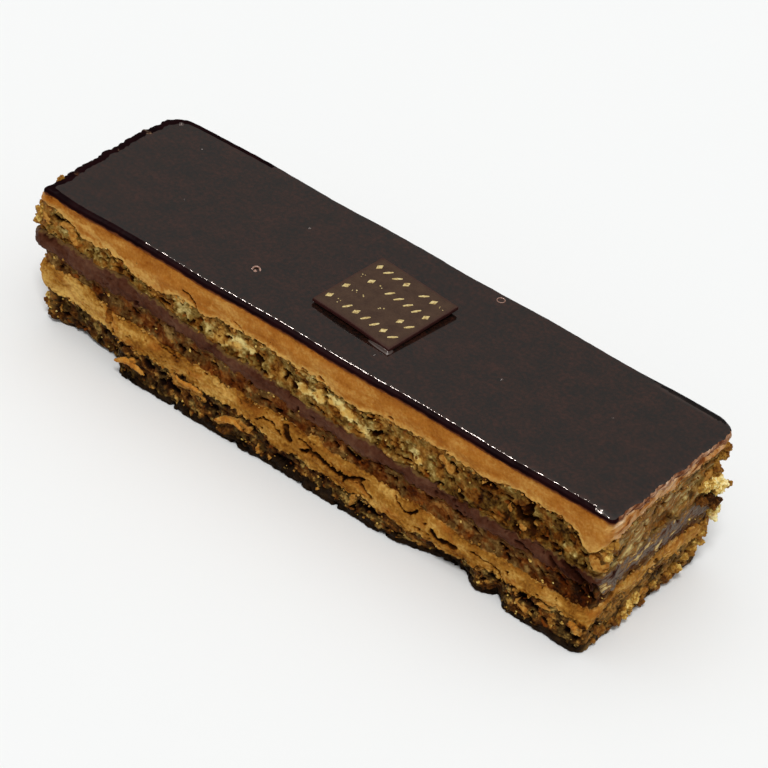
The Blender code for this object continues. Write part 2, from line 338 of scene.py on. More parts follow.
def finish(name, roughness, specular, metallic=0.0, subsurface=0.0, radius=(1.0, 0.5, 0.25),
           tint=(1.0, 1.0, 1.0)):
    """A new material with a Principled surface: (material, tree)."""
    made = bpy.data.materials.new(name)
    made.use_nodes = True
    tree = made.node_tree
    surface = tree.nodes["Principled BSDF"]
    surface.inputs["Roughness"].default_value = roughness
    surface.inputs["Metallic"].default_value = metallic
    surface.inputs["Specular IOR Level"].default_value = specular
    surface.inputs["Specular Tint"].default_value = (*tint, 1.0)
    surface.inputs["Subsurface Weight"].default_value = subsurface
    surface.inputs["Subsurface Radius"].default_value = radius
    surface.inputs["Subsurface Scale"].default_value = MM
    return made, tree


def speckle(tree, size, detail=3.0, seed=0.0, stretch=(1, 1, 1)):
    """Chance values, about -1 to 1, fixed to the object, with blotches of about size millimetres."""
    place = add_node(tree, "ShaderNodeTexCoord").outputs["Object"]
    moved = vectors(tree, "MULTIPLY_ADD", place, stretch, (seed, seed * 0.37, -seed))
    made = add_node(tree, "ShaderNodeTexNoise",
                    {"Vector": moved, "Scale": 1 / (size * MM), "Detail": detail, "Roughness": 0.55})
    return spread(tree, made.outputs["Fac"])


def add_up(tree, start, *parts):
    """start plus the sum of (value, share) parts."""
    total = start
    for value, share in parts:
        total = maths(tree, "MULTIPLY_ADD", value, share, total)
    return total


def shades(tree, value, stops):
    """A colour that runs through (place, colour) stops as value goes from 0 to 1."""
    ramp = add_node(tree, "ShaderNodeValToRGB", {"Fac": value})
    band = ramp.color_ramp
    while len(band.elements) < len(stops):
        band.elements.new(0.5)
    for element, (place, colour) in zip(band.elements, stops):
        element.position = place
        element.color = (*colour, 1.0)
    return ramp.outputs["Color"]


def blend(tree, share, a, b):
    """Colour a where share is 0 and b where it is 1."""
    a, b = [colour if isinstance(colour, bpy.types.NodeSocket) else (*colour, 1.0) for colour in (a, b)]
    return add_node(tree, "ShaderNodeMix", {0: share, 6: a, 7: b}, data_type="RGBA").outputs[2]


def stored(tree, name):
    """A value stored on the piece's points, for its material."""
    return add_node(tree, "ShaderNodeAttribute", attribute_name=name).outputs["Fac"]


def covered(made, colour, bump=None):
    """A material given its colour, and fine relief too small for the mesh: (size, detail, seed, depth)."""
    tree = made.node_tree
    surface = tree.nodes["Principled BSDF"]
    tree.links.new(colour, surface.inputs["Base Color"])
    if bump:
        *grain, depth = bump
        relief = add_node(tree, "ShaderNodeBump", {"Height": speckle(tree, *grain), "Distance": depth * MM,
                                                   "Strength": 1.0})
        tree.links.new(relief.outputs["Normal"], surface.inputs["Normal"])
    return made


def cloudy_finish(name, roughness, grains, stops, bump=None, **look):
    """A finish of one cloudy colour, from grains that are (size, detail, seed, share)."""
    made, tree = finish(name, roughness, **look)
    value = add_up(tree, 0.5, *[(speckle(tree, *grain), share) for *grain, share in grains])
    return covered(made, shades(tree, value, stops), bump)


def relief_tree(name, sizes):
    """An empty Geometry Nodes tree with named inputs for its sizes: (tree, start node, end node)."""
    tree = bpy.data.node_groups.new(name, "GeometryNodeTree")
    tree.interface.new_socket("Geometry", in_out="INPUT", socket_type="NodeSocketGeometry")
    for size in sizes:
        tree.interface.new_socket(size, in_out="INPUT", socket_type="NodeSocketFloat")
    tree.interface.new_socket("Finish", in_out="INPUT", socket_type="NodeSocketMaterial")
    tree.interface.new_socket("Geometry", in_out="OUTPUT", socket_type="NodeSocketGeometry")
    return tree, tree.nodes.new("NodeGroupInput"), tree.nodes.new("NodeGroupOutput")


def run_tree(piece, tree, values):
    """Runs a Geometry Nodes tree on a piece with named input values, and keeps the result as plain mesh."""
    modifier = piece.modifiers.new(tree.name, "NODES")
    modifier.node_group = tree
    for item in tree.interface.items_tree:
        if item.in_out == "INPUT" and item.name in values:
            modifier[item.identifier] = values[item.name]
    now = bpy.context.evaluated_depsgraph_get()
    mesh = bpy.data.meshes.new_from_object(piece.evaluated_get(now), preserve_all_data_layers=True, depsgraph=now)
    piece.modifiers.clear()
    piece.data = mesh
    return piece


def shifted(tree, place, size, seed):
    """A place counted in blotches of size metres, moved so that each seed gives its own pattern."""
    counted = vectors(tree, "SCALE", place, maths(tree, "DIVIDE", 1.0, size))
    offset = add_node(tree, "ShaderNodeCombineXYZ", {0: seed, 1: maths(tree, "MULTIPLY", seed, 2.3), 2: seed})
    return vectors(tree, "ADD", counted, offset.outputs[0])


def wavy(tree, place, size, seed, detail=2.0):
    """Noise of about size metres at a place, from about -1 to 1."""
    noise = add_node(tree, "ShaderNodeTexNoise",
                     {"Vector": shifted(tree, place, size, seed), "Scale": 1.0, "Detail": detail})
    return spread(tree, noise.outputs[0])


def keep_value(tree, geometry, name, value):
    """Stores a value on every point, for the material."""
    made = add_node(tree, "GeometryNodeStoreNamedAttribute", {"Geometry": geometry, "Name": name, "Value": value},
                    data_type="FLOAT", domain="POINT")
    return made.outputs["Geometry"]


def read_value(tree, name, kind="FLOAT"):
    """A value stored on the points, inside a Geometry Nodes tree."""
    made = add_node(tree, "GeometryNodeInputNamedAttribute", {"Name": name}, data_type=kind)
    return made.outputs["Attribute"]


def push_out(tree, geometry, distance):
    """Moves every point out of the cut face by distance, in millimetres, times its hold."""
    held = maths(tree, "MULTIPLY", maths(tree, "MULTIPLY", distance, MM), read_value(tree, "hold"))
    offset = vectors(tree, "SCALE", read_value(tree, "out", "FLOAT_VECTOR"), held)
    return add_node(tree, "GeometryNodeSetPosition", {"Geometry": geometry, "Offset": offset}).outputs[0]


def end_tree(tree, start, end, geometry):
    """Closes a tree as every tree here ends: instances made real, and the finish set."""
    real = add_node(tree, "GeometryNodeRealizeInstances", {"Geometry": geometry}).outputs[0]
    done = add_node(tree, "GeometryNodeSetMaterial", {"Geometry": real, "Material": start.outputs["Finish"]})
    tree.links.new(done.outputs[0], end.inputs["Geometry"])


def crumb_tree():
    """The cut face of a sponge: soft lumps, torn crumb, fine grain, open holes and the gaps between clumps."""
    sizes = ("Lump Size", "Lump Height", "Crumb Size", "Crumb Height", "Grain Size", "Grain Height", "Hole Size",
             "Hole Depth", "Hole Level", "Split Size", "Split Depth", "Seed")
    tree, start, end = relief_tree("cut sponge", sizes)
    size = start.outputs
    place = add_node(tree, "GeometryNodeInputPosition").outputs[0]
    flat = vectors(tree, "MULTIPLY", place, (1, 1, 1.45))
    bend = add_node(tree, "ShaderNodeTexNoise", {"Vector": place, "Scale": 1 / (1.5 * MM), "Detail": 2.0})
    bent = vectors(tree, "MULTIPLY_ADD", vectors(tree, "SUBTRACT", bend.outputs["Color"], (0.5, 0.5, 0.5)),
                   (1.8 * MM, 1.8 * MM, 1.8 * MM), flat)
    lump = wavy(tree, place, size["Lump Size"], size["Seed"])
    crumb = wavy(tree, bent, size["Crumb Size"], size["Seed"], 2.5)
    grain = wavy(tree, bent, size["Grain Size"], size["Seed"], 1.0)
    hole_field = wavy(tree, bent, size["Hole Size"], maths(tree, "ADD", size["Seed"], 5.0), 1.5)
    hole = step_up(tree, hole_field, size["Hole Level"], maths(tree, "ADD", size["Hole Level"], 0.22))
    split_place = shifted(tree, bent, size["Split Size"], size["Seed"])
    cells = add_node(tree, "ShaderNodeTexVoronoi", {"Vector": split_place, "Scale": 1.0},
                     feature="DISTANCE_TO_EDGE")
    patches = wavy(tree, place, maths(tree, "MULTIPLY", size["Split Size"], 1.5), size["Seed"])
    gap = step_up(tree, cells.outputs["Distance"], 0.16, 0.02)
    gap = maths(tree, "MULTIPLY", gap, step_up(tree, patches, -0.2, 0.5))
    pit = read_value(tree, "pit")
    deep = add_up(tree, pit, (hole, size["Hole Depth"]), (gap, size["Split Depth"]))
    fine = add_up(tree, maths(tree, "MULTIPLY", crumb, size["Crumb Height"]), (grain, size["Grain Height"]))
    rise = maths(tree, "SUBTRACT", fine, deep)
    # rise and dark go to the finishes, which paint shade with them: darker in the dips of the relief, in the holes
    # and in the gaps between clumps.
    geometry = keep_value(tree, start.outputs["Geometry"], "rise", rise)
    opened = maths(tree, "MAXIMUM", hole, maths(tree, "MULTIPLY", gap, 0.6))
    geometry = keep_value(tree, geometry, "dark", maths(tree, "MAXIMUM", opened, maths(tree, "MINIMUM", pit, 1.0)))
    total = add_up(tree, rise, (lump, size["Lump Height"]), (read_value(tree, "proud"), 1.0))
    end_tree(tree, start, end, push_out(tree, geometry, total))
    return tree


def in_metres(values):
    """Input values for a tree: sizes across, given in millimetres, turned into metres; all else as it is."""
    return {key: value * MM if key.endswith("Size") else value for key, value in values.items()}


def place_in_scene(piece, node):
    """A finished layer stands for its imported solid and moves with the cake."""
    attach(piece, "root")
    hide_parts(node)


def layer_piece(name, number, face, tree, values, slot, **drawn):
    """One layer's piece: the grid of its cut face, what is drawn on it, and the relief of its tree."""
    blank = 0 * face["hold"]
    kept = [(key, face[key]) for key in ("out", "hold", "low", "high")] + [("end", blank + AT_END[:, None])]
    kept += [(key, drawn.get(key, blank)) for key in ("pit", "proud", "pale", "smear")]
    piece = closed_mesh(name, face["points"], kept)
    run_tree(piece, tree, in_metres(values))
    place_in_scene(piece, STACK[number])
    return piece


TEARS = (0.0, 0.8, 0.75, 0.65, 0.6, 0.6, 0.5, 0.12, 0.0)    # how ragged each seam is, from the floor up
edges = [seam + ragged(size, 40 + 10 * k) for k, (seam, size) in enumerate(zip(seams, TEARS))]
AT_END = np.clip((np.abs(outward[:, 0]) - 0.55) / 0.35, 0, 1)

# The knife was drawn up as it left the cake, so it pulled the seams up across the cut end at +X: (y, rise) by seam.
DRAWN_UP = {
    2: ((-18, 0.4), (-16, 1.6), (-13, 2.6), (-10, 2.6), (-6, 2.0),
        (-2, 2.9), (2, 2.6), (8, 1.8), (12, 1.0), (17, 0.2)),
    3: ((-18, 0.3), (-16, 0.9), (-13, 1.4), (-10, 2.3), (-4, 2.1),
        (0, 2.4), (6, 1.7), (10, 1.2), (14, 0.5), (17, 0.1)),
    4: ((-18, 0.0), (-16, -0.7), (-13, -0.8), (-10, 0.6), (-5, 0.5),
        (0, 0.7), (6, 0.6), (11, 0.6), (17, 0.1)),
    5: ((-18, 0.2), (-16, 0.9), (-13, 1.6), (-7, 1.2), (-2, 1.7),
        (4, 1.4), (9, 1.2), (13, 0.3), (17, 0.1)),
    6: ((-18, 1.2), (-16.5, 2.2), (-11, 2.6), (-6, 2.8), (0, 1.9),
        (4, 2.0), (8, 2.3), (12, 2.4), (15, 2.2), (17, 1.2)),
}
for seam, rises in DRAWN_UP.items():
    spots = [half_x - 5] + [end_face(y, 0)[0] for y, _ in rises] + [half_x + 2 * half_y + 2]
    edges[seam] = edges[seam] + np.interp(run, spots, [0] + [rise for _, rise in rises] + [0])
edges[6] = edges[6] - 1.1 * np.exp(-((run - half_x + 4.2) / 2.0) ** 2)      # a tongue of cream by the near corner
edges[1] = np.maximum(edges[1], 0.3)        # some of the base is left everywhere


def dragged(tree, size, seed):
    """Chance values drawn out along the cut end, rising a little towards the back, as the knife left them."""
    whole = add_node(tree, "ShaderNodeTexCoord").outputs["Object"]
    place = add_node(tree, "ShaderNodeSeparateXYZ", {0: whole}).outputs
    drawn = add_node(tree, "ShaderNodeCombineXYZ", {
        0: maths(tree, "MULTIPLY_ADD", place[1], 0.2, seed),
        1: maths(tree, "MULTIPLY_ADD", place[1], -0.36, place[2]), 2: maths(tree, "MULTIPLY", place[0], 0.3)})
    made = add_node(tree, "ShaderNodeTexNoise",
                    {"Vector": drawn.outputs[0], "Scale": 1 / (size * MM), "Detail": 4.0, "Roughness": 0.6})
    return spread(tree, made.outputs["Fac"])


def smeared(tree, colour, stops, share, seed):
    """The colour of a cut end: a share of the layer's own colour under streaks that the knife drew across it."""
    # The streaks are lighter on the crests of the relief and darker in its dips: painted shade.
    value = add_up(tree, 0.5, (dragged(tree, 1.3, seed), 0.42), (dragged(tree, 0.4, seed + 2), 0.24),
                   (speckle(tree, 2.4, 3.0, seed), 0.34), (stored(tree, "rise"), 0.5))
    level = add_up(tree, share, (dragged(tree, 2.2, seed + 5), 0.3))
    streaks = maths(tree, "MULTIPLY", stored(tree, "end"), step_up(tree, level, 0.2, 0.6))
    return blend(tree, streaks, colour, shades(tree, value, stops))


def base_finish():
    """Dull dark chocolate in lighter and darker blotches, with painted shade that makes its raised flakes lighter
    and its dips darker.
    """
    made, tree = finish("brushed dark chocolate", 0.5, specular=0.04, tint=WARM)
    value = add_up(tree, 0.4, (speckle(tree, 1.6, 3.0, 3), 0.22), (stored(tree, "rise"), 0.5))
    colour = shades(tree, value, [(0.2, (0.004, 0.002, 0.001)), (0.55, (0.018, 0.009, 0.004)),
                                  (0.75, (0.05, 0.026, 0.009)), (0.98, (0.19, 0.095, 0.026))])
    colour = smeared(tree, colour, [(0.2, (0.010, 0.005, 0.003)), (0.5, (0.09, 0.045, 0.014)),
                                    (0.8, (0.25, 0.135, 0.037))], 0.55, 21.0)
    return covered(made, colour, bump=(0.3, 3.0, 8, 0.05))


cut_sponge = crumb_tree()
face, _ = cut_face(0, 16, edges[0] + 0.02, edges[1] + 0.25, recess=0.1, lip=0.35)
layer_piece("chocolate_base_edge", 0, face, cut_sponge, {
    "Lump Size": 3.0, "Lump Height": 0.2, "Crumb Size": 1.3, "Crumb Height": 0.22, "Grain Size": 0.5,
    "Grain Height": 0.1, "Hole Size": 2.0, "Hole Depth": 0.6, "Hole Level": 0.3, "Split Size": 2.0,
    "Split Depth": 0.25, "Seed": 1.0,
    "Finish": base_finish()}, "dark_chocolate")


# ---- The bottom sponge --------------------------------------------------------------------------------------
# The first thin sheet of almond sponge, nearly black with coffee syrup. The knife pulled its wet crumb apart and
# left flakes of cream from the layer above stuck across it.

CREAM_SPOT = (0.40, 0.18, 0.040)
CHOCOLATE_SPOT = (0.022, 0.010, 0.005)
GANACHE_SPOT = (0.075, 0.029, 0.015)
BEHIND = 0.45           # how far a sponge goes up and down behind the lips of its neighbours


def stain(tree, colour, distance, tint, wide, seed):
    """Blotches of a neighbour's colour along an edge, where distance is how far the edge is."""
    near = step_up(tree, distance, wide, 0.0)
    share = step_up(tree, add_up(tree, near, (speckle(tree, 1.4, 3.0, seed), 0.4)), 0.65, 1.1)
    return blend(tree, share, colour, tint)


def sponge_finish(name, khaki, brown, below, above, mottle, end_stops):
    """Soaked crumb in two families of colour, from painted shade in its holes to a painted highlight on its grains.

    below and above are the colours that its neighbours stain it with, and end_stops those of its cut ends."""
    made, tree = finish(name, 0.42, specular=0.02, subsurface=0.05, tint=WARM)
    value = add_up(tree, 0.5, (speckle(tree, 4.2, 3.0, 11), mottle), (speckle(tree, 1.5, 3.0, 71), mottle),
                   (speckle(tree, 0.5, 3.0, 5), 0.17), (stored(tree, "rise"), 0.6), (stored(tree, "dark"), -0.34),
                   (stored(tree, "pale"), 0.42))
    stops = (0.02, 0.28, 0.55, 0.98)
    families = [shades(tree, value, list(zip(stops, family))) for family in (khaki, brown)]
    colour = blend(tree, step_up(tree, speckle(tree, 2.4, 3.0, 17), -0.35, 0.40), *families)
    spots = step_up(tree, speckle(tree, 1.5, 2.0, 83), 0.55, 0.8)
    colour = blend(tree, maths(tree, "MULTIPLY", spots, 0.6), colour, (0.22, 0.052, 0.006))
    colour = smeared(tree, colour, end_stops, 0.42, 6.0)
    colour = stain(tree, colour, stored(tree, "low"), below, 1.3, 23)
    colour = stain(tree, colour, stored(tree, "high"), above, 1.1, 29)
    cream = step_up(tree, speckle(tree, 0.7, 2.0, 3), -0.8, 0.8)
    cream = blend(tree, cream, (0.30, 0.11, 0.015), (0.48, 0.24, 0.05))
    colour = blend(tree, step_up(tree, stored(tree, "smear"), 0.25, 0.6), colour, cream)
    return covered(made, colour, bump=(0.22, 2.0, 7, 0.03))


# What is drawn on a cut face is a table of strokes: ((x or run, height) points, half width, strength).
FLAKES = (
    (((-28.6, 6.2), (-28.0, 5.2), (-26.0, 5.6), (-24.5, 6.3), (-22.4, 6.1)), 0.6, 1.0),
    (((-21.9, 5.3), (-21.2, 5.2)), 0.45, 1.0),
    (((-17.3, 3.4), (-15.4, 4.8), (-13.6, 5.4), (-11.3, 4.6)), 0.75, 1.0),
    (((-17.9, 2.9), (-17.4, 3.0)), 0.35, 1.0), (((26.4, 5.0), (28.5, 4.5), (30.5, 4.1), (32.8, 3.5)), 0.9, 1.0),
    (((11.6, 4.2), (11.4, 2.4)), 0.7, 1.0), (((-8.7, 2.9), (-8.9, 1.6)), 0.35, 1.0),
    (((-6.6, 2.2), (-6.4, 1.7)), 0.3, 1.0), (((4.4, 1.6), (4.1, 0.9)), 0.35, 1.0),
    (((-1.0, 2.0), (-1.2, 1.6)), 0.3, 1.0), (((50.8, 5.6), (52.6, 5.5)), 0.4, 1.0),
    (((46.4, 3.2), (48.3, 2.6)), 0.4, 1.0), (((45.3, 4.7), (46.0, 4.6)), 0.35, 1.0),
    (((58.4, 5.6), (58.9, 4.4)), 0.6, 1.0), (((-58.3, 4.0), (-57.0, 3.4)), 0.6, 1.0),
    (((53.4, 5.2), (53.5, 4.9)), 0.3, 1.0), ((end_face(-1.0, 3.8), end_face(0.2, 3.0)), 0.8, 1.0),
    ((end_face(9.0, 3.0), end_face(11.0, 2.4)), 0.7, 1.0),
)
BOTTOM_HOLES = (
    (((28.5, 5.9), (30.5, 5.8), (33.0, 6.0)), 0.7, 1.7), (((46.8, 4.4), (49.8, 4.3)), 0.7, 1.5),
    (((-34.8, 5.8), (-33.5, 5.3)), 0.8, 1.4), (((-29.5, 4.0), (-27.5, 3.4)), 0.9, 1.3),
    (((12.5, 3.0), (16.0, 3.4)), 1.0, 1.2), (((-10.4, 5.8), (-10.0, 5.6)), 0.7, 1.3),
    (((-5.0, 2.3), (-2.0, 2.6)), 0.9, 0.9), (((-20.0, 4.5), (-18.5, 5.2)), 0.6, 1.0),
    (((40.0, 4.2), (42.5, 4.8)), 0.5, 1.2), ((end_face(-4.5, 3.2), end_face(-4.0, 2.4)), 0.7, 1.2),
    ((end_face(6.0, 3.4), end_face(9.0, 3.6)), 0.6, 1.2),
    ((end_face(-15.0, 4.5), end_face(-13.0, 3.0)), 0.8, 1.0),
)
BOTTOM_PALE = (
    (((54.0, 2.6), (57.0, 1.6)), 1.0, 0.5), (((58.9, 3.6), (58.8, 1.6)), 0.5, 0.7),
    (((-49.0, 4.0), (-45.0, 3.4)), 1.0, 0.5),
)

face, at = cut_face(1, 46, edges[1] - BEHIND, edges[2] + BEHIND, recess=0.2, lip=0.35)
flakes = strokes(*at, FLAKES, seed=5)
layer_piece("bottom_sponge_crumb", 1, face, cut_sponge, {
    "Lump Size": 2.6, "Lump Height": 0.18, "Crumb Size": 1.0, "Crumb Height": 0.2, "Grain Size": 0.5,
    "Grain Height": 0.1, "Hole Size": 1.7, "Hole Depth": 1.1, "Hole Level": 0.35, "Split Size": 2.0,
    "Split Depth": 0.15, "Seed": 2.0,
    "Finish": sponge_finish(
        "bottom sponge", below=CHOCOLATE_SPOT, above=CREAM_SPOT, mottle=0.312,
        khaki=((0.008, 0.003, 0.002), (0.028, 0.013, 0.004), (0.082, 0.044, 0.011), (0.60, 0.38, 0.10)),
        brown=((0.010, 0.003, 0.002), (0.038, 0.012, 0.003), (0.110, 0.038, 0.007), (0.60, 0.28, 0.05)),
        end_stops=((0.08, (0.03, 0.013, 0.005)), (0.3, (0.16, 0.080, 0.021)), (0.5, (0.32, 0.165, 0.042)),
                   (0.7, (0.40, 0.16, 0.025)), (0.92, (0.60, 0.40, 0.12))))},
    "soaked_sponge", pit=strokes(*at, BOTTOM_HOLES, seed=9) * (1 - np.minimum(flakes, 1)), proud=0.45 * flakes,
    smear=flakes, pale=strokes(*at, BOTTOM_PALE, seed=13))


# ---- The lower coffee cream ---------------------------------------------------------------------------------
# Buttercream beaten with coffee, spread cold on the first sponge. It was too cold to give under the knife: its
# face is granular, and a long crack and several short ones run through it.

def spread_tree():
    """The cut face of a cream: slow waves, streaks along the cut, grit that grows towards the torn edge, pits."""
    sizes = ("Wave Size", "Wave Height", "Drag Size", "Drag Height", "Grit Size", "Grit Height", "Torn Height",
             "Pit Size", "Pit Depth", "Pit Level", "Seed")
    tree, start, end = relief_tree("cut cream", sizes)
    size = start.outputs
    place = add_node(tree, "GeometryNodeInputPosition").outputs[0]
    streaked = vectors(tree, "MULTIPLY", place, (0.35, 0.35, 1.5))
    bend = add_node(tree, "ShaderNodeTexNoise", {"Vector": place, "Scale": 1 / (1.2 * MM), "Detail": 1.0})
    bent = vectors(tree, "MULTIPLY_ADD", bend.outputs["Color"], (0.9 * MM, 0.9 * MM, 0.9 * MM), place)
    wave = wavy(tree, place, size["Wave Size"], size["Seed"])
    drag = wavy(tree, streaked, size["Drag Size"], size["Seed"])
    grit = wavy(tree, bent, size["Grit Size"], size["Seed"], 2.0)
    to_top = maths(tree, "MULTIPLY", read_value(tree, "high"), 2.5)
    torn = step_up(tree, maths(tree, "MINIMUM", read_value(tree, "low"), to_top), 1.1, 0.0)
    hole_field = wavy(tree, bent, size["Pit Size"], maths(tree, "ADD", size["Seed"], 3.0), 1.5)
    hole = step_up(tree, hole_field, size["Pit Level"], maths(tree, "ADD", size["Pit Level"], 0.25))
    pit = read_value(tree, "pit")
    deep = add_up(tree, pit, (hole, size["Pit Depth"]))
    roughness = add_up(tree, size["Grit Height"], (torn, size["Torn Height"]))
    fine = add_up(tree, maths(tree, "MULTIPLY", grit, roughness), (drag, size["Drag Height"]))
    rise = maths(tree, "SUBTRACT", fine, deep)
    # rise and dark go to the finishes, which paint shade with them: darker in the dips of the relief, in the pits
    # and in the cracks.
    geometry = keep_value(tree, start.outputs["Geometry"], "rise", rise)
    opened = maths(tree, "MULTIPLY", hole, 0.6)
    geometry = keep_value(tree, geometry, "dark", maths(tree, "MAXIMUM", opened, maths(tree, "MINIMUM", pit, 1.0)))
    total = add_up(tree, rise, (wave, size["Wave Height"]), (read_value(tree, "proud"), 1.0))
    end_tree(tree, start, end, push_out(tree, geometry, total))
    return tree


def cream_finish(name, stops, mottle, rim, painted_top_shade, roughness, end_stops, end_share):
    """Coffee buttercream: satin, a little see-through, paler at its foot by rim, a painted highlight, and darker at
    its top, in its dips and in its pits, painted shade.
    """
    made, tree = finish(name, roughness, specular=0.02, subsurface=0.1, radius=(1.2, 0.5, 0.15), tint=WARM)
    value = add_up(tree, 0.5, (speckle(tree, 4.5, 3.0, 21), 1.3 * mottle),
                   (speckle(tree, 2.2, 4.0, 19, (0.5, 0.5, 1.2)), 1.2 * mottle), (speckle(tree, 0.5, 2.0, 9), 0.13),
                   (stored(tree, "rise"), 0.8), (stored(tree, "dark"), -0.5), (stored(tree, "pale"), 0.3),
                   (step_up(tree, stored(tree, "low"), 1.6, 0.1), rim),
                   (step_up(tree, stored(tree, "high"), 1.4, 0.0), -painted_top_shade))
    colour = shades(tree, value, stops)
    rusty = step_up(tree, speckle(tree, 4.0, 4.0, 33, (0.8, 0.8, 1.1)), 0.0, 0.7)
    colour = blend(tree, maths(tree, "MULTIPLY", rusty, 0.55), colour, (0.33, 0.105, 0.014))
    colour = smeared(tree, colour, end_stops, end_share, 9.0)
    return covered(made, colour, bump=(0.28, 3.0, 6, 0.02))


LOWER_CRACKS = (
    (((0.0, 7.2), (1.5, 7.9), (3.5, 8.3), (5.0, 7.7), (7.5, 7.2), (10.0, 7.5), (12.0, 8.1), (13.2, 8.9)),
     0.42, 1.4),
    (((12.2, 8.1), (13.6, 7.2), (15.0, 6.2)), 0.34, 1.3), (((9.8, 7.3), (9.2, 6.3)), 0.22, 1.0),
    (((-9.6, 8.6), (-8.2, 9.6), (-6.0, 9.3), (-4.6, 8.2)), 0.2, 1.0),
    (((20.0, 9.4), (21.3, 8.2), (22.6, 7.6), (24.0, 8.3), (24.6, 9.0)), 0.22, 1.0),
    (((36.0, 7.5), (38.0, 7.2), (40.0, 7.2), (41.6, 6.8), (42.2, 6.1)), 0.18, 1.0),
    (((-0.5, 9.3), (1.0, 9.1), (2.2, 8.7)), 0.2, 0.9), (((-3.6, 9.9), (-3.2, 8.8), (-2.6, 8.1)), 0.8, 0.7),
    (((28.0, 6.6), (30.0, 6.1), (33.0, 6.4)), 0.6, 1.6), (((49.0, 6.0), (51.0, 6.2), (53.5, 6.1)), 0.3, 1.1),
    (((-43.9, 12.0), (-42.6, 11.2), (-42.9, 9.8)), 0.25, 0.6),
    (((-32.0, 11.3), (-29.0, 11.0), (-27.0, 10.9)), 0.14, 0.6), (((-1.8, 5.2), (-1.2, 4.0)), 0.2, 0.9),
    ((end_face(-9.0, 9.6), end_face(-11.0, 8.6), end_face(-14.0, 8.8)), 0.2, 0.9),
    ((end_face(0.0, 10.4), end_face(1.5, 9.0), end_face(1.0, 7.8)), 0.5, 0.9),
)

LOWER_DRIPS = (
    (((-43.4, 11.6), (-43.2, 10.9), (-43.3, 10.2)), 0.75, 1.0), (((58.9, 6.3), (59.3, 5.6)), 0.8, 0.8),
)

cut_cream = spread_tree()
face, at = cut_face(2, 42, edges[2], edges[3], lip=0.3)
drips = strokes(*at, LOWER_DRIPS, uneven=0.2, seed=19)
lighter = 0.55 * np.clip(-(at[0] + 36) / 8, 0, 1) * np.clip((at[0] + half_x + 3) / 2, 0, 1)     # left of x = -36
layer_piece("lower_coffee_cream_face", 2, face, cut_cream, {
    "Wave Size": 3.2, "Wave Height": 0.18, "Drag Size": 1.6, "Drag Height": 0.08, "Grit Size": 0.55,
    "Grit Height": 0.13, "Torn Height": 0.24, "Pit Size": 1.3, "Pit Depth": 0.5, "Pit Level": 0.7,
    "Seed": 6.0,
    "Finish": cream_finish(
        # Its top is darkened a little as painted shade.
        "lower coffee cream", mottle=0.18, rim=0.0, painted_top_shade=0.1, roughness=0.55, end_share=0.35,
        stops=[(0.0, (0.016, 0.005, 0.001)), (0.22, (0.15, 0.046, 0.005)), (0.5, (0.32, 0.138, 0.019)),
               (0.9, (0.64, 0.38, 0.095))],
        end_stops=[(0.1, (0.15, 0.055, 0.010)), (0.35, (0.35, 0.13, 0.021)), (0.6, (0.55, 0.28, 0.062)),
                   (0.9, (0.72, 0.47, 0.18))])},
    "coffee_cream", pit=strokes(*at, LOWER_CRACKS, uneven=0.28, seed=17), proud=0.5 * drips,
    pale=lighter - 1.2 * drips)


# ---- The middle sponge --------------------------------------------------------------------------------------
# The second sheet of sponge, thinner and pressed flat between cream and ganache, stained plum by the one and
# tan by the other.

MIDDLE_HOLES = (
    (((9.4, 12.4), (11.2, 12.2)), 0.75, 1.4), (((6.0, 12.2), (6.8, 12.0)), 0.45, 1.1),
    (((-38.6, 15.0), (-37.6, 14.6)), 0.45, 1.1), (((-27.8, 13.0), (-26.8, 12.9)), 0.4, 1.1),
    (((-25.3, 13.9), (-24.2, 13.6)), 0.35, 1.0), (((-21.0, 13.4), (-19.8, 13.2)), 0.25, 1.0),
    (((-9.6, 12.3), (-8.0, 12.7)), 0.3, 1.0), (((-6.6, 11.9), (-5.2, 11.9)), 0.35, 1.0),
    (((40.7, 11.8), (41.9, 11.4)), 0.5, 1.4), (((31.5, 12.9), (33.0, 12.8)), 0.45, 1.1),
    (((35.0, 13.8), (36.0, 13.2)), 0.45, 0.9), (((25.9, 12.9), (26.3, 12.6)), 0.4, 1.0),
    (((15.6, 13.2), (16.2, 12.8)), 0.4, 1.0), (((18.5, 12.3), (19.4, 12.0)), 0.35, 1.0),
    (((58.0, 13.6), (59.5, 13.0)), 0.6, 1.4), (((42.6, 10.4), (42.9, 10.2)), 0.4, 1.0),
    (((54.0, 11.9), (54.4, 11.6)), 0.35, 1.0), (((-12.0, 14.4), (-12.6, 13.2)), 0.2, 0.9),
    (((-33.0, 15.6), (-33.4, 14.2)), 0.2, 0.8), (((49.0, 11.8), (50.0, 11.0)), 0.3, 1.0),
    ((end_face(-12.5, 12.0), end_face(-11.5, 11.4)), 0.6, 1.2),
    ((end_face(-0.5, 13.2), end_face(1.0, 12.4)), 0.6, 1.1),
    (((54.6, 13.6), (56.6, 12.8), (58.0, 11.6)), 0.75, 1.5), (((59.4, 12.8), (60.2, 11.4)), 0.5, 1.4),
    (((52.6, 12.6), (53.4, 12.2)), 0.45, 1.2),
)
MIDDLE_PALE = (
    (((-12.9, 12.4), (-12.7, 12.2)), 0.45, 1.3), (((1.3, 12.1), (1.5, 12.0)), 0.45, 1.2),
    (((7.8, 12.8), (7.7, 11.8)), 0.3, 1.0), (((-31.0, 14.6), (-29.0, 13.6)), 1.1, 0.5),
    (((28.0, 12.0), (29.5, 12.4)), 0.8, 0.6), (((33.0, 11.6), (35.0, 11.0)), 0.8, 0.5),
    (((43.0, 12.2), (44.0, 11.6)), 0.8, 0.6), (((-35.0, 13.9), (-33.6, 13.7)), 0.6, 0.6),
    (((-12.0, 13.9), (-10.0, 14.0)), 0.8, 0.5), ((end_face(-12.0, 14.0), end_face(-10.0, 12.8)), 0.7, 0.9),
)

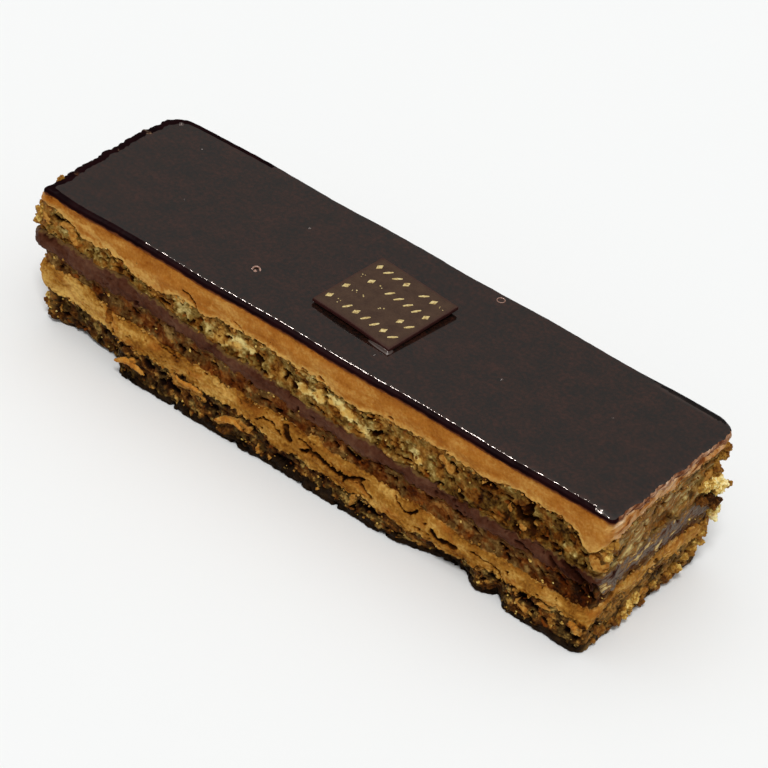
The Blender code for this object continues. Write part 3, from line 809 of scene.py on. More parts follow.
face, at = cut_face(3, 36, edges[3] - BEHIND, edges[4] + BEHIND, recess=0.2, lip=0.3)
syruped = np.clip((at[0] - 49) / 4, 0, 1) * (1 - AT_END[:, None])       # nearly black with syrup at the near corner
layer_piece("middle_sponge_crumb", 3, face, cut_sponge, {
    "Lump Size": 2.6, "Lump Height": 0.14, "Crumb Size": 1.1, "Crumb Height": 0.11, "Grain Size": 0.45,
    "Grain Height": 0.06, "Hole Size": 1.5, "Hole Depth": 0.8, "Hole Level": 0.6, "Split Size": 2.2,
    "Split Depth": 0.1, "Seed": 3.0,
    "Finish": sponge_finish(
        "middle sponge", below=CREAM_SPOT, above=GANACHE_SPOT, mottle=0.26,
        khaki=((0.010, 0.003, 0.001), (0.050, 0.016, 0.003), (0.108, 0.053, 0.013), (0.34, 0.20, 0.06)),
        brown=((0.014, 0.003, 0.001), (0.068, 0.013, 0.001), (0.130, 0.037, 0.006), (0.32, 0.14, 0.03)),
        end_stops=((0.15, (0.035, 0.012, 0.006)), (0.4, (0.11, 0.045, 0.012)), (0.6, (0.17, 0.10, 0.035)),
                   (0.8, (0.15, 0.05, 0.012)), (0.97, (0.50, 0.36, 0.15))))},
    "soaked_sponge", pit=strokes(*at, MIDDLE_HOLES, seed=21),
    pale=strokes(*at, MIDDLE_PALE, seed=25) - 0.65 * syruped)


# ---- The ganache --------------------------------------------------------------------------------------------
# Chocolate melted into hot cream and poured over the middle sponge. Set, it cuts clean: a plum brown band,
# softly shiny, with the crumb of its neighbours pressed into its edges.

def ganache_finish():
    """Plum brown, satin and cloudy, with crumb of both neighbours dragged into it."""
    made, tree = finish("set ganache", 0.42, specular=0.02, tint=(1.0, 0.8, 0.75))
    # rise and dark make it lighter on the crests of the relief and darker in its dips and pits: painted shade.
    value = add_up(tree, 0.5, (speckle(tree, 3.4, 4.0, 31, (0.5, 0.5, 1.2)), 0.36),
                   (speckle(tree, 0.9, 3.0, 4), 0.22), (stored(tree, "rise"), 0.6), (stored(tree, "dark"), -0.4),
                   (stored(tree, "pale"), 0.5))
    colour = shades(tree, value, [(0.05, (0.022, 0.005, 0.002)), (0.3, (0.054, 0.016, 0.007)),
                                  (0.55, (0.080, 0.029, 0.015)), (0.95, (0.125, 0.057, 0.030))])
    colour = smeared(tree, colour, [(0.05, (0.030, 0.010, 0.006)), (0.24, (0.09, 0.036, 0.017)),
                                    (0.38, (0.115, 0.085, 0.066)), (0.48, (0.18, 0.15, 0.115)),
                                    (0.56, (0.11, 0.050, 0.024)), (0.68, (0.26, 0.125, 0.03)),
                                    (0.88, (0.60, 0.46, 0.20))], 0.75, 14.0)
    colour = stain(tree, colour, stored(tree, "high"), (0.13, 0.070, 0.022), 0.9, 37)
    colour = stain(tree, colour, stored(tree, "low"), (0.11, 0.036, 0.008), 1.0, 43)
    return covered(made, colour, bump=(0.4, 3.0, 12, 0.03))


GANACHE_MARKS = (
    (((-1.8, 14.9), (-1.8, 14.3)), 0.35, 0.9), (((-31.6, 16.2), (-29.0, 16.2)), 0.15, 0.8),
    (((44.0, 14.6), (47.0, 14.0)), 0.4, 0.5), (((50.5, 15.2), (52.0, 14.2)), 0.5, 0.7),
    (((54.0, 15.4), (56.0, 14.8), (58.5, 13.6)), 0.8, 1.2), (((59.6, 14.6), (60.6, 13.4)), 0.6, 1.1),
)

face, at = cut_face(4, 26, edges[4], edges[5], lip=0.45)
bulge = 1 - ((face["low"] - face["high"]) / (face["low"] + face["high"])) ** 2
left_tip = np.exp(-((at[0] + half_x - 1.0) / 3.0) ** 2) * (0.2 + bulge)     # pressed out at the far left corner
layer_piece("ganache_face", 4, face, cut_cream, {
    "Wave Size": 2.6, "Wave Height": 0.24, "Drag Size": 1.8, "Drag Height": 0.10, "Grit Size": 0.8,
    "Grit Height": 0.09, "Torn Height": 0.2, "Pit Size": 1.5, "Pit Depth": 0.4, "Pit Level": 0.65,
    "Seed": 9.0,
    "Finish": ganache_finish()}, "ganache", pit=strokes(*at, GANACHE_MARKS, seed=41), proud=0.8 * left_tip,
    pale=-0.6 * syruped[:, :1] + 0 * face["hold"])


# ---- The top sponge -----------------------------------------------------------------------------------------
# The third sheet of sponge, the thickest and the palest: the syrup soaked it unevenly, so olive brown crumb runs
# into patches that stayed the yellow of the almond. Large holes opened where the baking gas sat.

TOP_HOLES = (
    (((45.3, 23.2), (45.1, 21.8), (45.0, 20.3)), 0.6, 1.7),
    (((42.6, 20.1), (43.8, 19.0), (45.2, 19.3), (46.3, 18.8)), 0.65, 1.7),
    (((45.2, 20.0), (47.2, 20.0)), 0.35, 1.3), (((35.6, 21.6), (37.0, 22.1), (38.3, 22.0)), 0.6, 1.6),
    (((36.9, 22.9), (37.2, 22.2)), 0.35, 1.3), (((29.3, 21.7), (30.4, 20.7)), 0.55, 1.5),
    (((-3.6, 18.8), (-3.5, 18.6)), 0.8, 1.6), (((-18.9, 19.9), (-17.8, 20.1)), 0.4, 1.2),
    (((-33.0, 20.1), (-31.3, 20.1)), 0.45, 1.2), (((-12.3, 19.4), (-10.6, 19.6)), 0.55, 0.9),
    (((13.0, 17.7), (13.9, 18.7)), 0.5, 1.3), (((2.4, 21.2), (4.2, 21.5)), 0.55, 0.7),
    (((3.1, 19.6), (3.4, 18.9)), 0.3, 1.1), (((9.3, 18.6), (9.6, 18.4)), 0.3, 0.9),
    (((2.5, 16.8), (3.2, 16.6)), 0.35, 1.1), (((20.0, 17.1), (21.2, 17.2)), 0.25, 1.0),
    (((26.8, 16.0), (28.0, 16.6)), 0.4, 1.0), (((31.8, 16.4), (32.7, 16.5)), 0.3, 1.0),
    (((48.0, 17.4), (49.0, 17.6)), 0.25, 1.0), (((51.2, 16.3), (52.4, 16.2)), 0.5, 1.3),
    (((57.2, 17.7), (57.4, 17.4)), 0.4, 1.2), (((-41.0, 20.6), (-40.0, 20.4)), 0.4, 0.9),
    # The next two are painted shadow under the lip of the cream above, sunk in and darkened as holes are.
    (((-44.5, 23.1), (-42.0, 23.1)), 0.4, 0.8), (((-57.5, 24.4), (-54.0, 24.5)), 0.5, 1.1),
    (((-59.3, 20.6), (-59.0, 20.4)), 0.4, 1.1), (((-57.9, 20.2), (-57.6, 20.1)), 0.35, 1.1),
    (((-53.4, 20.1), (-52.0, 19.8)), 0.35, 1.1), (((-25.9, 19.5), (-25.6, 19.3)), 0.3, 1.0),
    (((-24.0, 18.9), (-23.6, 18.8)), 0.35, 1.1), (((-6.4, 20.3), (-4.3, 20.7)), 0.3, 0.8),
    (((17.0, 18.6), (17.6, 17.8)), 0.25, 0.8), (((24.4, 17.0), (25.2, 16.7)), 0.25, 0.9),
    ((end_face(-3.5, 19.8), end_face(0.5, 20.2)), 0.8, 0.3),
    ((end_face(6.8, 21.0), end_face(7.6, 19.6)), 0.7, 0.4),
    ((end_face(-10.8, 15.9), end_face(-10.0, 15.7)), 0.4, 1.2),
    ((end_face(10.0, 25.0), end_face(13.0, 24.6)), 0.5, 0.4),
    ((end_face(-4.0, 16.4), end_face(-2.6, 16.2)), 0.5, 0.9),
)
TOP_PALE = (
    (((-19.0, 19.0), (-17.0, 20.8), (-14.0, 20.2)), 1.3, 0.9), (((-14.8, 20.4), (-13.5, 19.8)), 0.8, 1.4),
    (((-2.0, 19.0), (0.0, 19.2), (2.4, 19.6)), 1.2, 1.4), (((4.3, 20.4), (6.0, 19.8), (8.0, 19.2)), 1.4, 1.5),
    (((9.0, 19.5), (11.0, 18.5), (12.0, 17.8)), 1.3, 0.6), (((21.5, 19.6), (23.0, 18.2)), 0.9, 1.0),
    (((-23.0, 20.3), (-20.5, 19.0)), 1.0, 0.5), (((-29.0, 21.5), (-27.0, 20.0)), 1.4, 0.4),
    (((52.0, 18.8), (55.0, 18.4)), 0.8, 0.5), (((60.4, 21.8), (61.2, 20.6)), 0.8, 0.8),
    ((end_face(-13.0, 17.5), end_face(-16.0, 19.0)), 1.2, 0.8),
    ((end_face(1.0, 18.5), end_face(5.0, 19.5)), 1.4, 0.6),
    ((end_face(-11.0, 19.0), end_face(-8.0, 17.5)), 1.2, 0.5),
)
TOP_CRUMBS = (
    (((27.4, 21.7), (28.5, 20.8), (29.4, 20.1)), 0.65, 1.0), (((35.8, 21.9), (36.1, 21.8)), 0.35, 1.0),
    (((-55.6, 23.6), (-54.0, 23.4), (-53.2, 22.0)), 0.9, 1.0), (((-53.6, 21.5), (-52.4, 21.2)), 0.55, 1.0),
    (((44.2, 17.7), (44.9, 17.6)), 0.45, 1.0), (((41.2, 19.7), (41.7, 19.3)), 0.4, 1.0),
    (((46.6, 19.6), (46.9, 19.3)), 0.3, 1.0), (((-60.0, 23.6), (-59.0, 22.6)), 0.8, 0.8),
    (((58.6, 19.4), (59.8, 18.4), (61.0, 18.2)), 1.1, 1.0),
    ((end_face(-17.0, 21.0), end_face(-16.0, 19.6)), 0.9, 0.6),
    ((end_face(10.0, 22.0), end_face(13.0, 22.6)), 1.1, 0.6),
)

face, at = cut_face(5, 50, edges[5] - BEHIND, edges[6] + BEHIND, recess=0.25, lip=0.3)
crumbs = strokes(*at, TOP_CRUMBS, seed=45)
soaked = 0.42 * np.clip((at[0] - 24) / 12, 0, 1) * (1 - AT_END[:, None])      # the syrup ran to one end of the bar
layer_piece("top_sponge_crumb", 5, face, cut_sponge, {
    "Lump Size": 3.0, "Lump Height": 0.22, "Crumb Size": 1.1, "Crumb Height": 0.09, "Grain Size": 0.42,
    "Grain Height": 0.06, "Hole Size": 1.5, "Hole Depth": 1.0, "Hole Level": 0.56, "Split Size": 1.9,
    "Split Depth": 0.22, "Seed": 4.0,
    "Finish": sponge_finish(
        "top sponge", below=GANACHE_SPOT, above=(0.20, 0.062, 0.008), mottle=0.26,
        khaki=((0.018, 0.006, 0.001), (0.096, 0.044, 0.007), (0.220, 0.134, 0.030), (0.72, 0.57, 0.22)),
        brown=((0.026, 0.006, 0.001), (0.116, 0.034, 0.003), (0.245, 0.102, 0.016), (0.60, 0.35, 0.08)),
        end_stops=((0.1, (0.04, 0.016, 0.006)), (0.33, (0.13, 0.075, 0.025)), (0.5, (0.28, 0.10, 0.016)),
                   (0.66, (0.26, 0.18, 0.075)), (0.93, (0.66, 0.49, 0.20))))},
    "almond_sponge", pit=strokes(*at, TOP_HOLES, seed=49) * (1 - np.minimum(crumbs, 1)), proud=0.4 * crumbs,
    smear=crumbs, pale=strokes(*at, TOP_PALE, uneven=0.6, seed=53) - soaked)


# ---- The upper coffee cream ---------------------------------------------------------------------------------
# The second layer of coffee buttercream, under the glaze. The warm knife smoothed its face and dragged its lower
# edge down in tongues over the sponge, where it ends in a thin lip, made paler by a painted highlight.

UPPER_TEARS = (
    (((-27.6, 25.1), (-26.3, 24.6), (-25.3, 23.5), (-24.6, 22.3)), 0.3, 1.2),
    (((-16.9, 24.5), (-15.8, 24.2), (-15.1, 23.2)), 0.16, 0.8), (((-11.4, 22.1), (-10.9, 22.0)), 0.25, 0.9),
    (((-8.6, 22.6), (-8.3, 22.5)), 0.25, 0.8), (((-6.7, 22.7), (-6.4, 22.6)), 0.25, 0.8),
    (((-1.8, 23.4), (-1.0, 23.2)), 0.35, 1.1), (((27.0, 23.4), (28.4, 23.8)), 0.18, 0.9),
    (((47.8, 22.8), (49.4, 22.7)), 0.25, 1.1), (((1.4, 23.5), (2.2, 23.3)), 0.3, 0.6),
    (((42.0, 22.5), (43.0, 22.8)), 0.25, 0.9), (((33.6, 23.2), (34.6, 23.0)), 0.2, 0.8),
    (((16.0, 23.6), (16.8, 23.4)), 0.25, 0.6), (((40.4, 23.9), (41.0, 23.2)), 0.2, 0.7),
)
UPPER_PALE = (
    (((-56.0, 26.6), (-50.0, 25.4), (-44.0, 24.2)), 0.9, 0.9), (((-42.0, 23.6), (-34.0, 22.4)), 1.0, 0.9),
    (((-31.0, 22.6), (-26.0, 22.6)), 0.8, 0.8), (((-22.0, 24.6), (-16.0, 23.8)), 0.7, 0.6),
    (((-12.0, 23.4), (-4.0, 23.2)), 0.7, 0.6), (((2.0, 24.2), (12.0, 24.2)), 0.8, 0.5),
    (((54.0, 22.4), (57.0, 21.2)), 0.7, 0.7), (((60.0, 26.6), (61.5, 27.0)), 0.8, 1.0),
    (((20.0, 26.4), (26.0, 26.0)), 0.8, -0.5), (((-30.0, 26.4), (-24.0, 25.6)), 0.9, -0.6),
    (((-46.0, 26.4), (-40.0, 25.6)), 0.9, -0.7), (((34.0, 25.8), (44.0, 25.4)), 0.9, -0.4),
    (((6.0, 26.4), (12.0, 26.0)), 0.8, -0.5),
)

face, at = cut_face(6, 46, edges[6], edges[7] + 0.3, lip=0.3)
drag_marks = cloud(0.25 * at[0], at[1] - 0.16 * at[0], 0.5, 77)
layer_piece("upper_coffee_cream_face", 6, face, cut_cream, {
    "Wave Size": 3.6, "Wave Height": 0.2, "Drag Size": 1.8, "Drag Height": 0.07, "Grit Size": 0.6,
    "Grit Height": 0.02, "Torn Height": 0.2, "Pit Size": 1.4, "Pit Depth": 0.15, "Pit Level": 1.0,
    "Seed": 7.0,
    "Finish": cream_finish(
        # rim paints a highlight along the lower lip, and the top is darkened as painted shade under the glaze.
        "upper coffee cream", mottle=0.13, rim=0.34, painted_top_shade=0.16, roughness=0.5, end_share=0.75,
        stops=[(0.0, (0.045, 0.012, 0.002)), (0.25, (0.26, 0.078, 0.008)), (0.5, (0.375, 0.142, 0.021)),
               (0.9, (0.58, 0.32, 0.080))],
        end_stops=[(0.12, (0.15, 0.043, 0.010)), (0.33, (0.38, 0.145, 0.032)), (0.55, (0.48, 0.26, 0.105)),
                   (0.75, (0.54, 0.32, 0.17)), (0.95, (0.76, 0.54, 0.32))])},
    "coffee_cream", pit=strokes(*at, UPPER_TEARS, uneven=0.25, seed=57), proud=0.22 * AT_END[:, None] * drag_marks,
    pale=strokes(*at, UPPER_PALE, uneven=0.7, seed=59))


# ---- The glaze ----------------------------------------------------------------------------------------------
# A mirror glaze of chocolate, poured warm and left to set flat. A hot knife melts its cut side, which sets as a
# rounded edge with small ripples that glint. At the short ends the knife smeared cream over the side.

# The back edge, the short ends and the front edge in section, from the foot up: (how far in from the side, how
# far above the level top). The front edge has a wide dull shoulder, whose near-black finish is painted shade.
LONG_EDGE = ((0.10, -0.86), (0.03, -0.76), (0.0, -0.66), (0.0, -0.56), (0.0, -0.46), (0.0, -0.36), (0.015, -0.27),
             (0.045, -0.19), (0.09, -0.12), (0.15, -0.065), (0.22, -0.028), (0.31, -0.007), (0.42, 0.0), (0.7, 0.0),
             (1.2, 0.0), (1.35, 0.0), (2.1, 0.0), (3.2, 0.0))
SHORT_EDGE = ((0.15, -0.86), (0.05, -0.70), (0.0, -0.55), (0.0, -0.42), (0.04, -0.30), (0.10, -0.20), (0.18, -0.12),
              (0.28, -0.06), (0.40, -0.02), (0.55, 0.0), (0.75, 0.02), (1.0, 0.03), (1.3, 0.02), (1.45, 0.015),
              (1.7, 0.01), (2.1, 0.0), (2.6, 0.0), (3.2, 0.0))
FRONT_EDGE = ((0.10, -0.90), (0.03, -0.80), (0.0, -0.70), (0.0, -0.62), (0.01, -0.55), (0.045, -0.48),
              (0.11, -0.42), (0.21, -0.36), (0.35, -0.30), (0.52, -0.24), (0.70, -0.18), (0.86, -0.12),
              (0.97, -0.072), (1.06, -0.034), (1.14, -0.010), (1.22, 0.0), (2.1, 0.0), (3.2, 0.0))
FOOT_ROWS = 4           # rows of the section, from the foot, that follow the seam below
END_WEAR = 3.0          # how far from the short ends the edge is worn
# The dull rows are also set near black: painted shade.
DULL_ROWS, DULL_FRONT, DULL_LEFT = 8, 13, 15    # rows from the foot that set dull: at the back, front and left
DULL_FRONT_TO, DULL_LEFT_TO = 57, -38           # x from the middle where the last two end
LIP_FIRST, LIP_ROWS = 12, 4     # rows of the section that stand up in a lip at the far corner
LIP_ALONG = (43, 50, 58, 60.5)  # x where that lip begins, is whole, is no longer whole, and ends
LONG_SIDE = 10          # a column this far in y from the middle is on a long side
SHARP_CORNER = 1.0      # radius of the glaze's two front corners
FOOT_TINT_BY_ROW = (1.0, 1.0, 0.8, 0.55, 0.3, 0.1)  # how much redder brown each row is, from the foot


def squared(radius):
    """How far out from the path a sharper corner of this radius stands, for every column."""
    steep = np.abs(outward)
    flat = CORNER / steep.max(axis=1)
    beyond = steep.min(axis=1) * flat > CORNER - radius
    lean = (CORNER - radius) * steep.sum(axis=1)
    round_part = lean + np.sqrt(np.maximum(lean**2 - 2 * (CORNER - radius) ** 2 + radius**2, 0))
    return np.where(beyond, round_part, flat) - CORNER


def cut_glaze_finish():
    """The side the hot knife melted: nearly black and darker than the poured top as painted shade, redder brown at
    its foot, and smeared at the short ends.
    """
    made, tree = finish("cut glaze", 0.3, specular=0.01, tint=(1.0, 0.6, 0.6))
    value = add_up(tree, 0.5, (speckle(tree, 1.6, 3.0, 43, (0.4, 0.4, 1.5)), 0.3))
    colour = shades(tree, value, [(0.3, (0.004, 0.0012, 0.0018)), (0.7, (0.011, 0.0026, 0.0030))])
    foot = step_up(tree, add_up(tree, stored(tree, "foot"), (speckle(tree, 2.0, 3.0, 44), 0.3)), 0.25, 0.9)
    colour = blend(tree, foot, colour, (0.15, 0.042, 0.012))
    film = shades(tree, add_up(tree, 0.5, (dragged(tree, 1.1, 3.0), 0.5), (dragged(tree, 0.3, 4.0), 0.3)),
                  [(0.1, (0.03, 0.008, 0.006)), (0.35, (0.16, 0.055, 0.022)), (0.6, (0.34, 0.18, 0.10)),
                   (0.9, (0.60, 0.42, 0.28))])
    share = step_up(tree, add_up(tree, stored(tree, "smear"), (dragged(tree, 1.3, 49.0), 0.4)), 0.3, 0.6)
    return covered(made, blend(tree, share, colour, film))


def lip_finish():
    """The lip at the far corner, which turns away from the light: duller and darker than the poured top, painted
    shade.
    """
    made, tree = finish("glaze lip", 0.25, specular=0.1, tint=(1.0, 0.8, 0.7))
    stops = [(0.2, (0.003, 0.002, 0.002)), (0.8, (0.010, 0.005, 0.004))]
    return covered(made, shades(tree, speckle(tree, 1.0, 2.0, 45), stops))


end_wear = np.clip((np.abs(base_points[:, 0] - middle_x) - half_x + END_WEAR) / END_WEAR, 0, 1)
corners = np.where(base_points[:, 1] < middle_y, squared(SHARP_CORNER), 0)
cut_reach = reach_of(7, [0.35])[:, 0]
ripple = 0.04 * wander(1.6, 910) + 0.018 * wander(0.6, 911)     # the small ripples of the long edges
edge_reach = corners + all_round((cut_reach - corners)[::READING], 4.0) + ripple + end_wear * ragged(0.4, 900)
long_edge, short_edge, front_edge = np.array(LONG_EDGE), np.array(SHORT_EDGE), np.array(FRONT_EDGE)
front = (base_points[:, 1] < middle_y - LONG_SIDE).astype(float)
section = long_edge + front[:, None, None] * (front_edge - long_edge)
section += end_wear[:, None, None] * (short_edge - section)
drop = edges[7] - 0.1 * np.abs(wander(3.0, 950)) - (cake_top + section[:, 0, 1])
fade = np.clip(1 - np.arange(len(long_edge)) / FOOT_ROWS, 0, 1)
z = cake_top + section[:, :, 1] + drop[:, None] * fade
back_lip = np.interp(base_points[:, 0], LIP_ALONG, (0, 1, 1, 0)) * (base_points[:, 1] > middle_y + LONG_SIDE)
beads = 0.022 * wander(0.8, 912) + 0.012 * wander(0.5, 913)     # the edge rises and dips, so it glints in dashes
z += (front * beads)[:, None] * np.interp(front_edge[:, 0], (0.5, 0.8, 1.22, 2.1), (0.0, 1.0, 1.0, 0.0))
z[:, LIP_FIRST:LIP_FIRST + LIP_ROWS - 1] += (back_lip * (0.09 + 0.03 * wander(1.5, 914)))[:, None]
points = grid_of(edge_reach[:, None] + 0 * z, z, section[:, :, 0])
rings = [tucked(points[:, -1:], share) for share in (0.02, 0.05, 0.1, 0.2, 0.35, 0.5, 0.65, 0.8, 0.92)]
points = np.concatenate([tucked(points[:, :1]), points, *rings], axis=1)
smear = np.zeros(points.shape[:2]) + (end_wear * ((outward[:, 0] > 0.85) + 0.1 * (outward[:, 0] < -0.5)))[:, None]
foot = np.zeros(points.shape[:2])
foot[:, :len(FOOT_TINT_BY_ROW)] = FOOT_TINT_BY_ROW
glaze = closed_mesh("glaze_sheet", points, [("smear", smear), ("foot", foot)])
glaze.data.materials.append(cloudy_finish(       # the poured top: a dark mirror, faintly red brown
    "mirror glaze", 0.09, ((0.7, 3.0, 41, 0.36), (4.0, 2.0, 47, 0.20)),
    [(0.25, (0.005, 0.0040, 0.0035)), (0.55, (0.015, 0.0060, 0.004)), (0.9, (0.031, 0.0098, 0.006))],
    bump=(7.0, 1.0, 13, 0.009), specular=0.5, tint=(1.0, 0.86, 0.78)))
glaze.data.materials.append(cut_glaze_finish())
glaze.data.materials.append(lip_finish())
rows = points.shape[1]
dull_rows = np.where((front > 0) & (base_points[:, 0] < middle_x + DULL_FRONT_TO), DULL_FRONT, DULL_ROWS)
dull_rows = np.where(base_points[:, 0] < middle_x + DULL_LEFT_TO, DULL_LEFT, dull_rows)
for face in glaze.data.polygons:
    row = min(v % rows for v in face.vertices) if max(face.vertices) < COLUMNS * rows else rows
    column = min(face.vertices) // rows % COLUMNS
    if row < dull_rows[column]:
        face.material_index = 1
    elif back_lip[column] > 0.1 and row < LIP_FIRST + LIP_ROWS * back_lip[column]:
        face.material_index = 2
place_in_scene(glaze, "chocolate_glaze")


# ---- Bubbles in the glaze -----------------------------------------------------------------------------------
# Air that rose through the warm glaze: two bubbles that burst and set as rings, and low blisters that never did.

def top_of_glaze(x, y):
    """A place on the glaze, given from the middle of the cake."""
    return np.array([middle_x + x, middle_y + y, cake_top])


def ring_faces(rows, ring, ends="open", inside_out=False):
    """The faces between rings of points; ends are "open", "capped", or "joined" into a loop."""
    faces = []
    for k in range(rows if ends == "joined" else rows - 1):
        after = (k + 1) % rows
        for i in range(ring):
            j = (i + 1) % ring
            here, there = (k * ring + i, k * ring + j), (after * ring + i, after * ring + j)
            faces.append((here[0], *there, here[1]) if inside_out else (*here, *there[::-1]))
    if ends == "capped":
        first, last = tuple(range(ring)), tuple(range((rows - 1) * ring, rows * ring))
        faces += [first, last[::-1]] if inside_out else [first[::-1], last]
    return faces


def blister(x, y, radius, height):
    """A low dome that blends into the glaze round it: its points, with its foot and tip last, and its faces."""
    around = 28
    turn = np.linspace(0, 2 * math.pi, around, endpoint=False)
    profile = [(radius, -0.15)]
    profile += [(radius * s, height * (math.cos(math.pi * s) + 1) / 2 - 0.01) for s in np.linspace(1, 0, 9)[:-1]]
    rows = [np.stack([r * np.cos(turn), r * np.sin(turn), 0 * turn + h], axis=1) for r, h in profile]
    verts = np.concatenate([*rows, [(0, 0, -0.15)], [(0, 0, height)]]) + top_of_glaze(x, y)
    faces = ring_faces(len(rows), around)
    last, foot_at, tip_at = (len(rows) - 1) * around, len(rows) * around, len(rows) * around + 1
    for i in range(around):
        j = (i + 1) % around
        faces += [(j, i, foot_at), (last + i, last + j, tip_at)]
    return verts, faces


def joined_mesh(name, parts, material):
    """One smooth object from several (points, faces) parts, with one finish."""
    verts, faces = [], []
    for part_verts, part_faces in parts:
        faces += [tuple(len(verts) + v for v in face) for face in part_faces]
        verts += [tuple(v) for v in np.asarray(part_verts) * MM]
    mesh = bpy.data.meshes.new(name)
    mesh.from_pydata(verts, [], faces)
    mesh.shade_smooth()
    mesh.materials.append(material)
    return in_scene(name, mesh)


def hoop(x, y, radius, thick, lean=0.0):
    """The rim of a burst bubble: a thin ring half sunk in the glaze, with its near side sunk by lean."""
    around, sides = 32, 10
    verts = []
    for turn in np.linspace(0, 2 * math.pi, around, endpoint=False):
        for tilt in np.linspace(0, 2 * math.pi, sides, endpoint=False):
            out = radius + thick * math.cos(tilt)
            rise = thick * math.sin(tilt) + lean * (math.sin(turn - math.radians(30)) - 0.3)
            verts.append(top_of_glaze(x, y) + (out * math.cos(turn), out * math.sin(turn), rise))
    return verts, ring_faces(around, sides, "joined", inside_out=True)


BLISTERS = (        # x and y from the middle of the cake, radius, height
    (-57.6, 15.2, 0.55, 0.3), (-22.1, 7.8, 0.32, 0.22), (26.3, -1.5, 0.3, 0.2), (-42.0, -2.0, 0.2, 0.05),
    (45.0, 4.0, 0.2, 0.07), (-50.0, 12.0, 0.2, 0.05), (8.0, -12.0, 0.2, 0.05))

# Lighter than the poured glaze: a painted sheen on the blisters and on the plaque's collar.
bubble_glaze = cloudy_finish("bubble glaze", 0.28, [(0.5, 2.0, 3, 0.3)],
                             [(0.2, (0.016, 0.009, 0.007)), (0.8, (0.05, 0.024, 0.016))],
                             specular=1.0, tint=(1.0, 0.9, 0.85))
bubbles = joined_mesh("bubbles_in_glaze", [blister(*sizes) for sizes in BLISTERS], bubble_glaze)
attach(bubbles, "root")

# The rims of the burst bubbles and the small dome inside the near one are pale brown: a painted highlight where they
# catch the light.
painted_highlight_rim = cloudy_finish("burst bubble rim", 0.2, [(0.4, 2.0, 3, 0.4)],
                         [(0.2, (0.20, 0.09, 0.06)), (0.8, (0.40, 0.24, 0.18))],
                         specular=0.8, tint=(1.0, 0.88, 0.82))
burst = joined_mesh("burst_bubble", [hoop(12.9, 16.05, 0.7, 0.09), hoop(-20.4, -8.5, 0.68, 0.16, 0.24),
                                    blister(-20.3, -8.9, 0.36, 0.3)], painted_highlight_rim)
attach(burst, "root")


# ---- The plaque ---------------------------------------------------------------------------------------------
# A thin square of tempered chocolate, snapped from a sheet. It was laid on the glaze before it set, so its nearest
# corner sank until it touched, in a collar of glaze, and its other corners stand a little clear.

PLAQUE_THICK = 0.82
PLAQUE_CELLS = 24       # of its mesh, each way
PLAQUE_HALF = 9.0       # about half of a side
EDGE_ROUND = 0.07       # how far its edges are rounded
BOW = 0.28              # how far the middle of its near edge has bowed up
PLAQUE_CORNERS = {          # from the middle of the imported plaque: (x, y), and how far its foot is above the glaze
    "left": (-9.05, -8.35, 0.18), "near": (8.45, -9.85, -0.02),
    "right": (9.4, 7.75, 0.62), "back": (-8.2, 9.45, 0.5)}


def plaque_finish():
    """Dull brown tempered chocolate, a little bloomed, and redder where it snapped."""
    made, tree = finish("tempered chocolate", 0.4, specular=0.16, tint=(1.0, 0.8, 0.75))
    value = add_up(tree, 0.5, (speckle(tree, 2.0, 4.0, 51), 0.3), (speckle(tree, 0.35, 2.0, 53), 0.12))
    colour = shades(tree, value, [(0.2, (0.040, 0.0200, 0.0115)), (0.8, (0.068, 0.0370, 0.0205))])
    colour = blend(tree, stored(tree, "snapped"), colour, (0.038, 0.010, 0.009))
    return covered(made, colour, bump=(0.5, 3.0, 14, 0.02))


plaque_low, plaque_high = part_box("chocolate_plaque")
plaque_xy = np.array([plaque_low.x + plaque_high.x, plaque_low.y + plaque_high.y]) / 2 / MM
corner_at = {key: np.array([*(plaque_xy + (x, y)), cake_top + lift])
             for key, (x, y, lift) in PLAQUE_CORNERS.items()}


def on_plaque(s, t):
    """A place on the plaque's foot: s runs from its left to its right edge, t from its near edge to its back."""
    near_edge = corner_at["left"] * (1 - s) + corner_at["near"] * s
    back_edge = corner_at["back"] * (1 - s) + corner_at["right"] * s
    bowed = np.array([0, 0, BOW]) * (1 - t) ** 2 * max(4 * s * (1 - s), 0) ** 1.5
    return near_edge * (1 - t) + back_edge * t + bowed


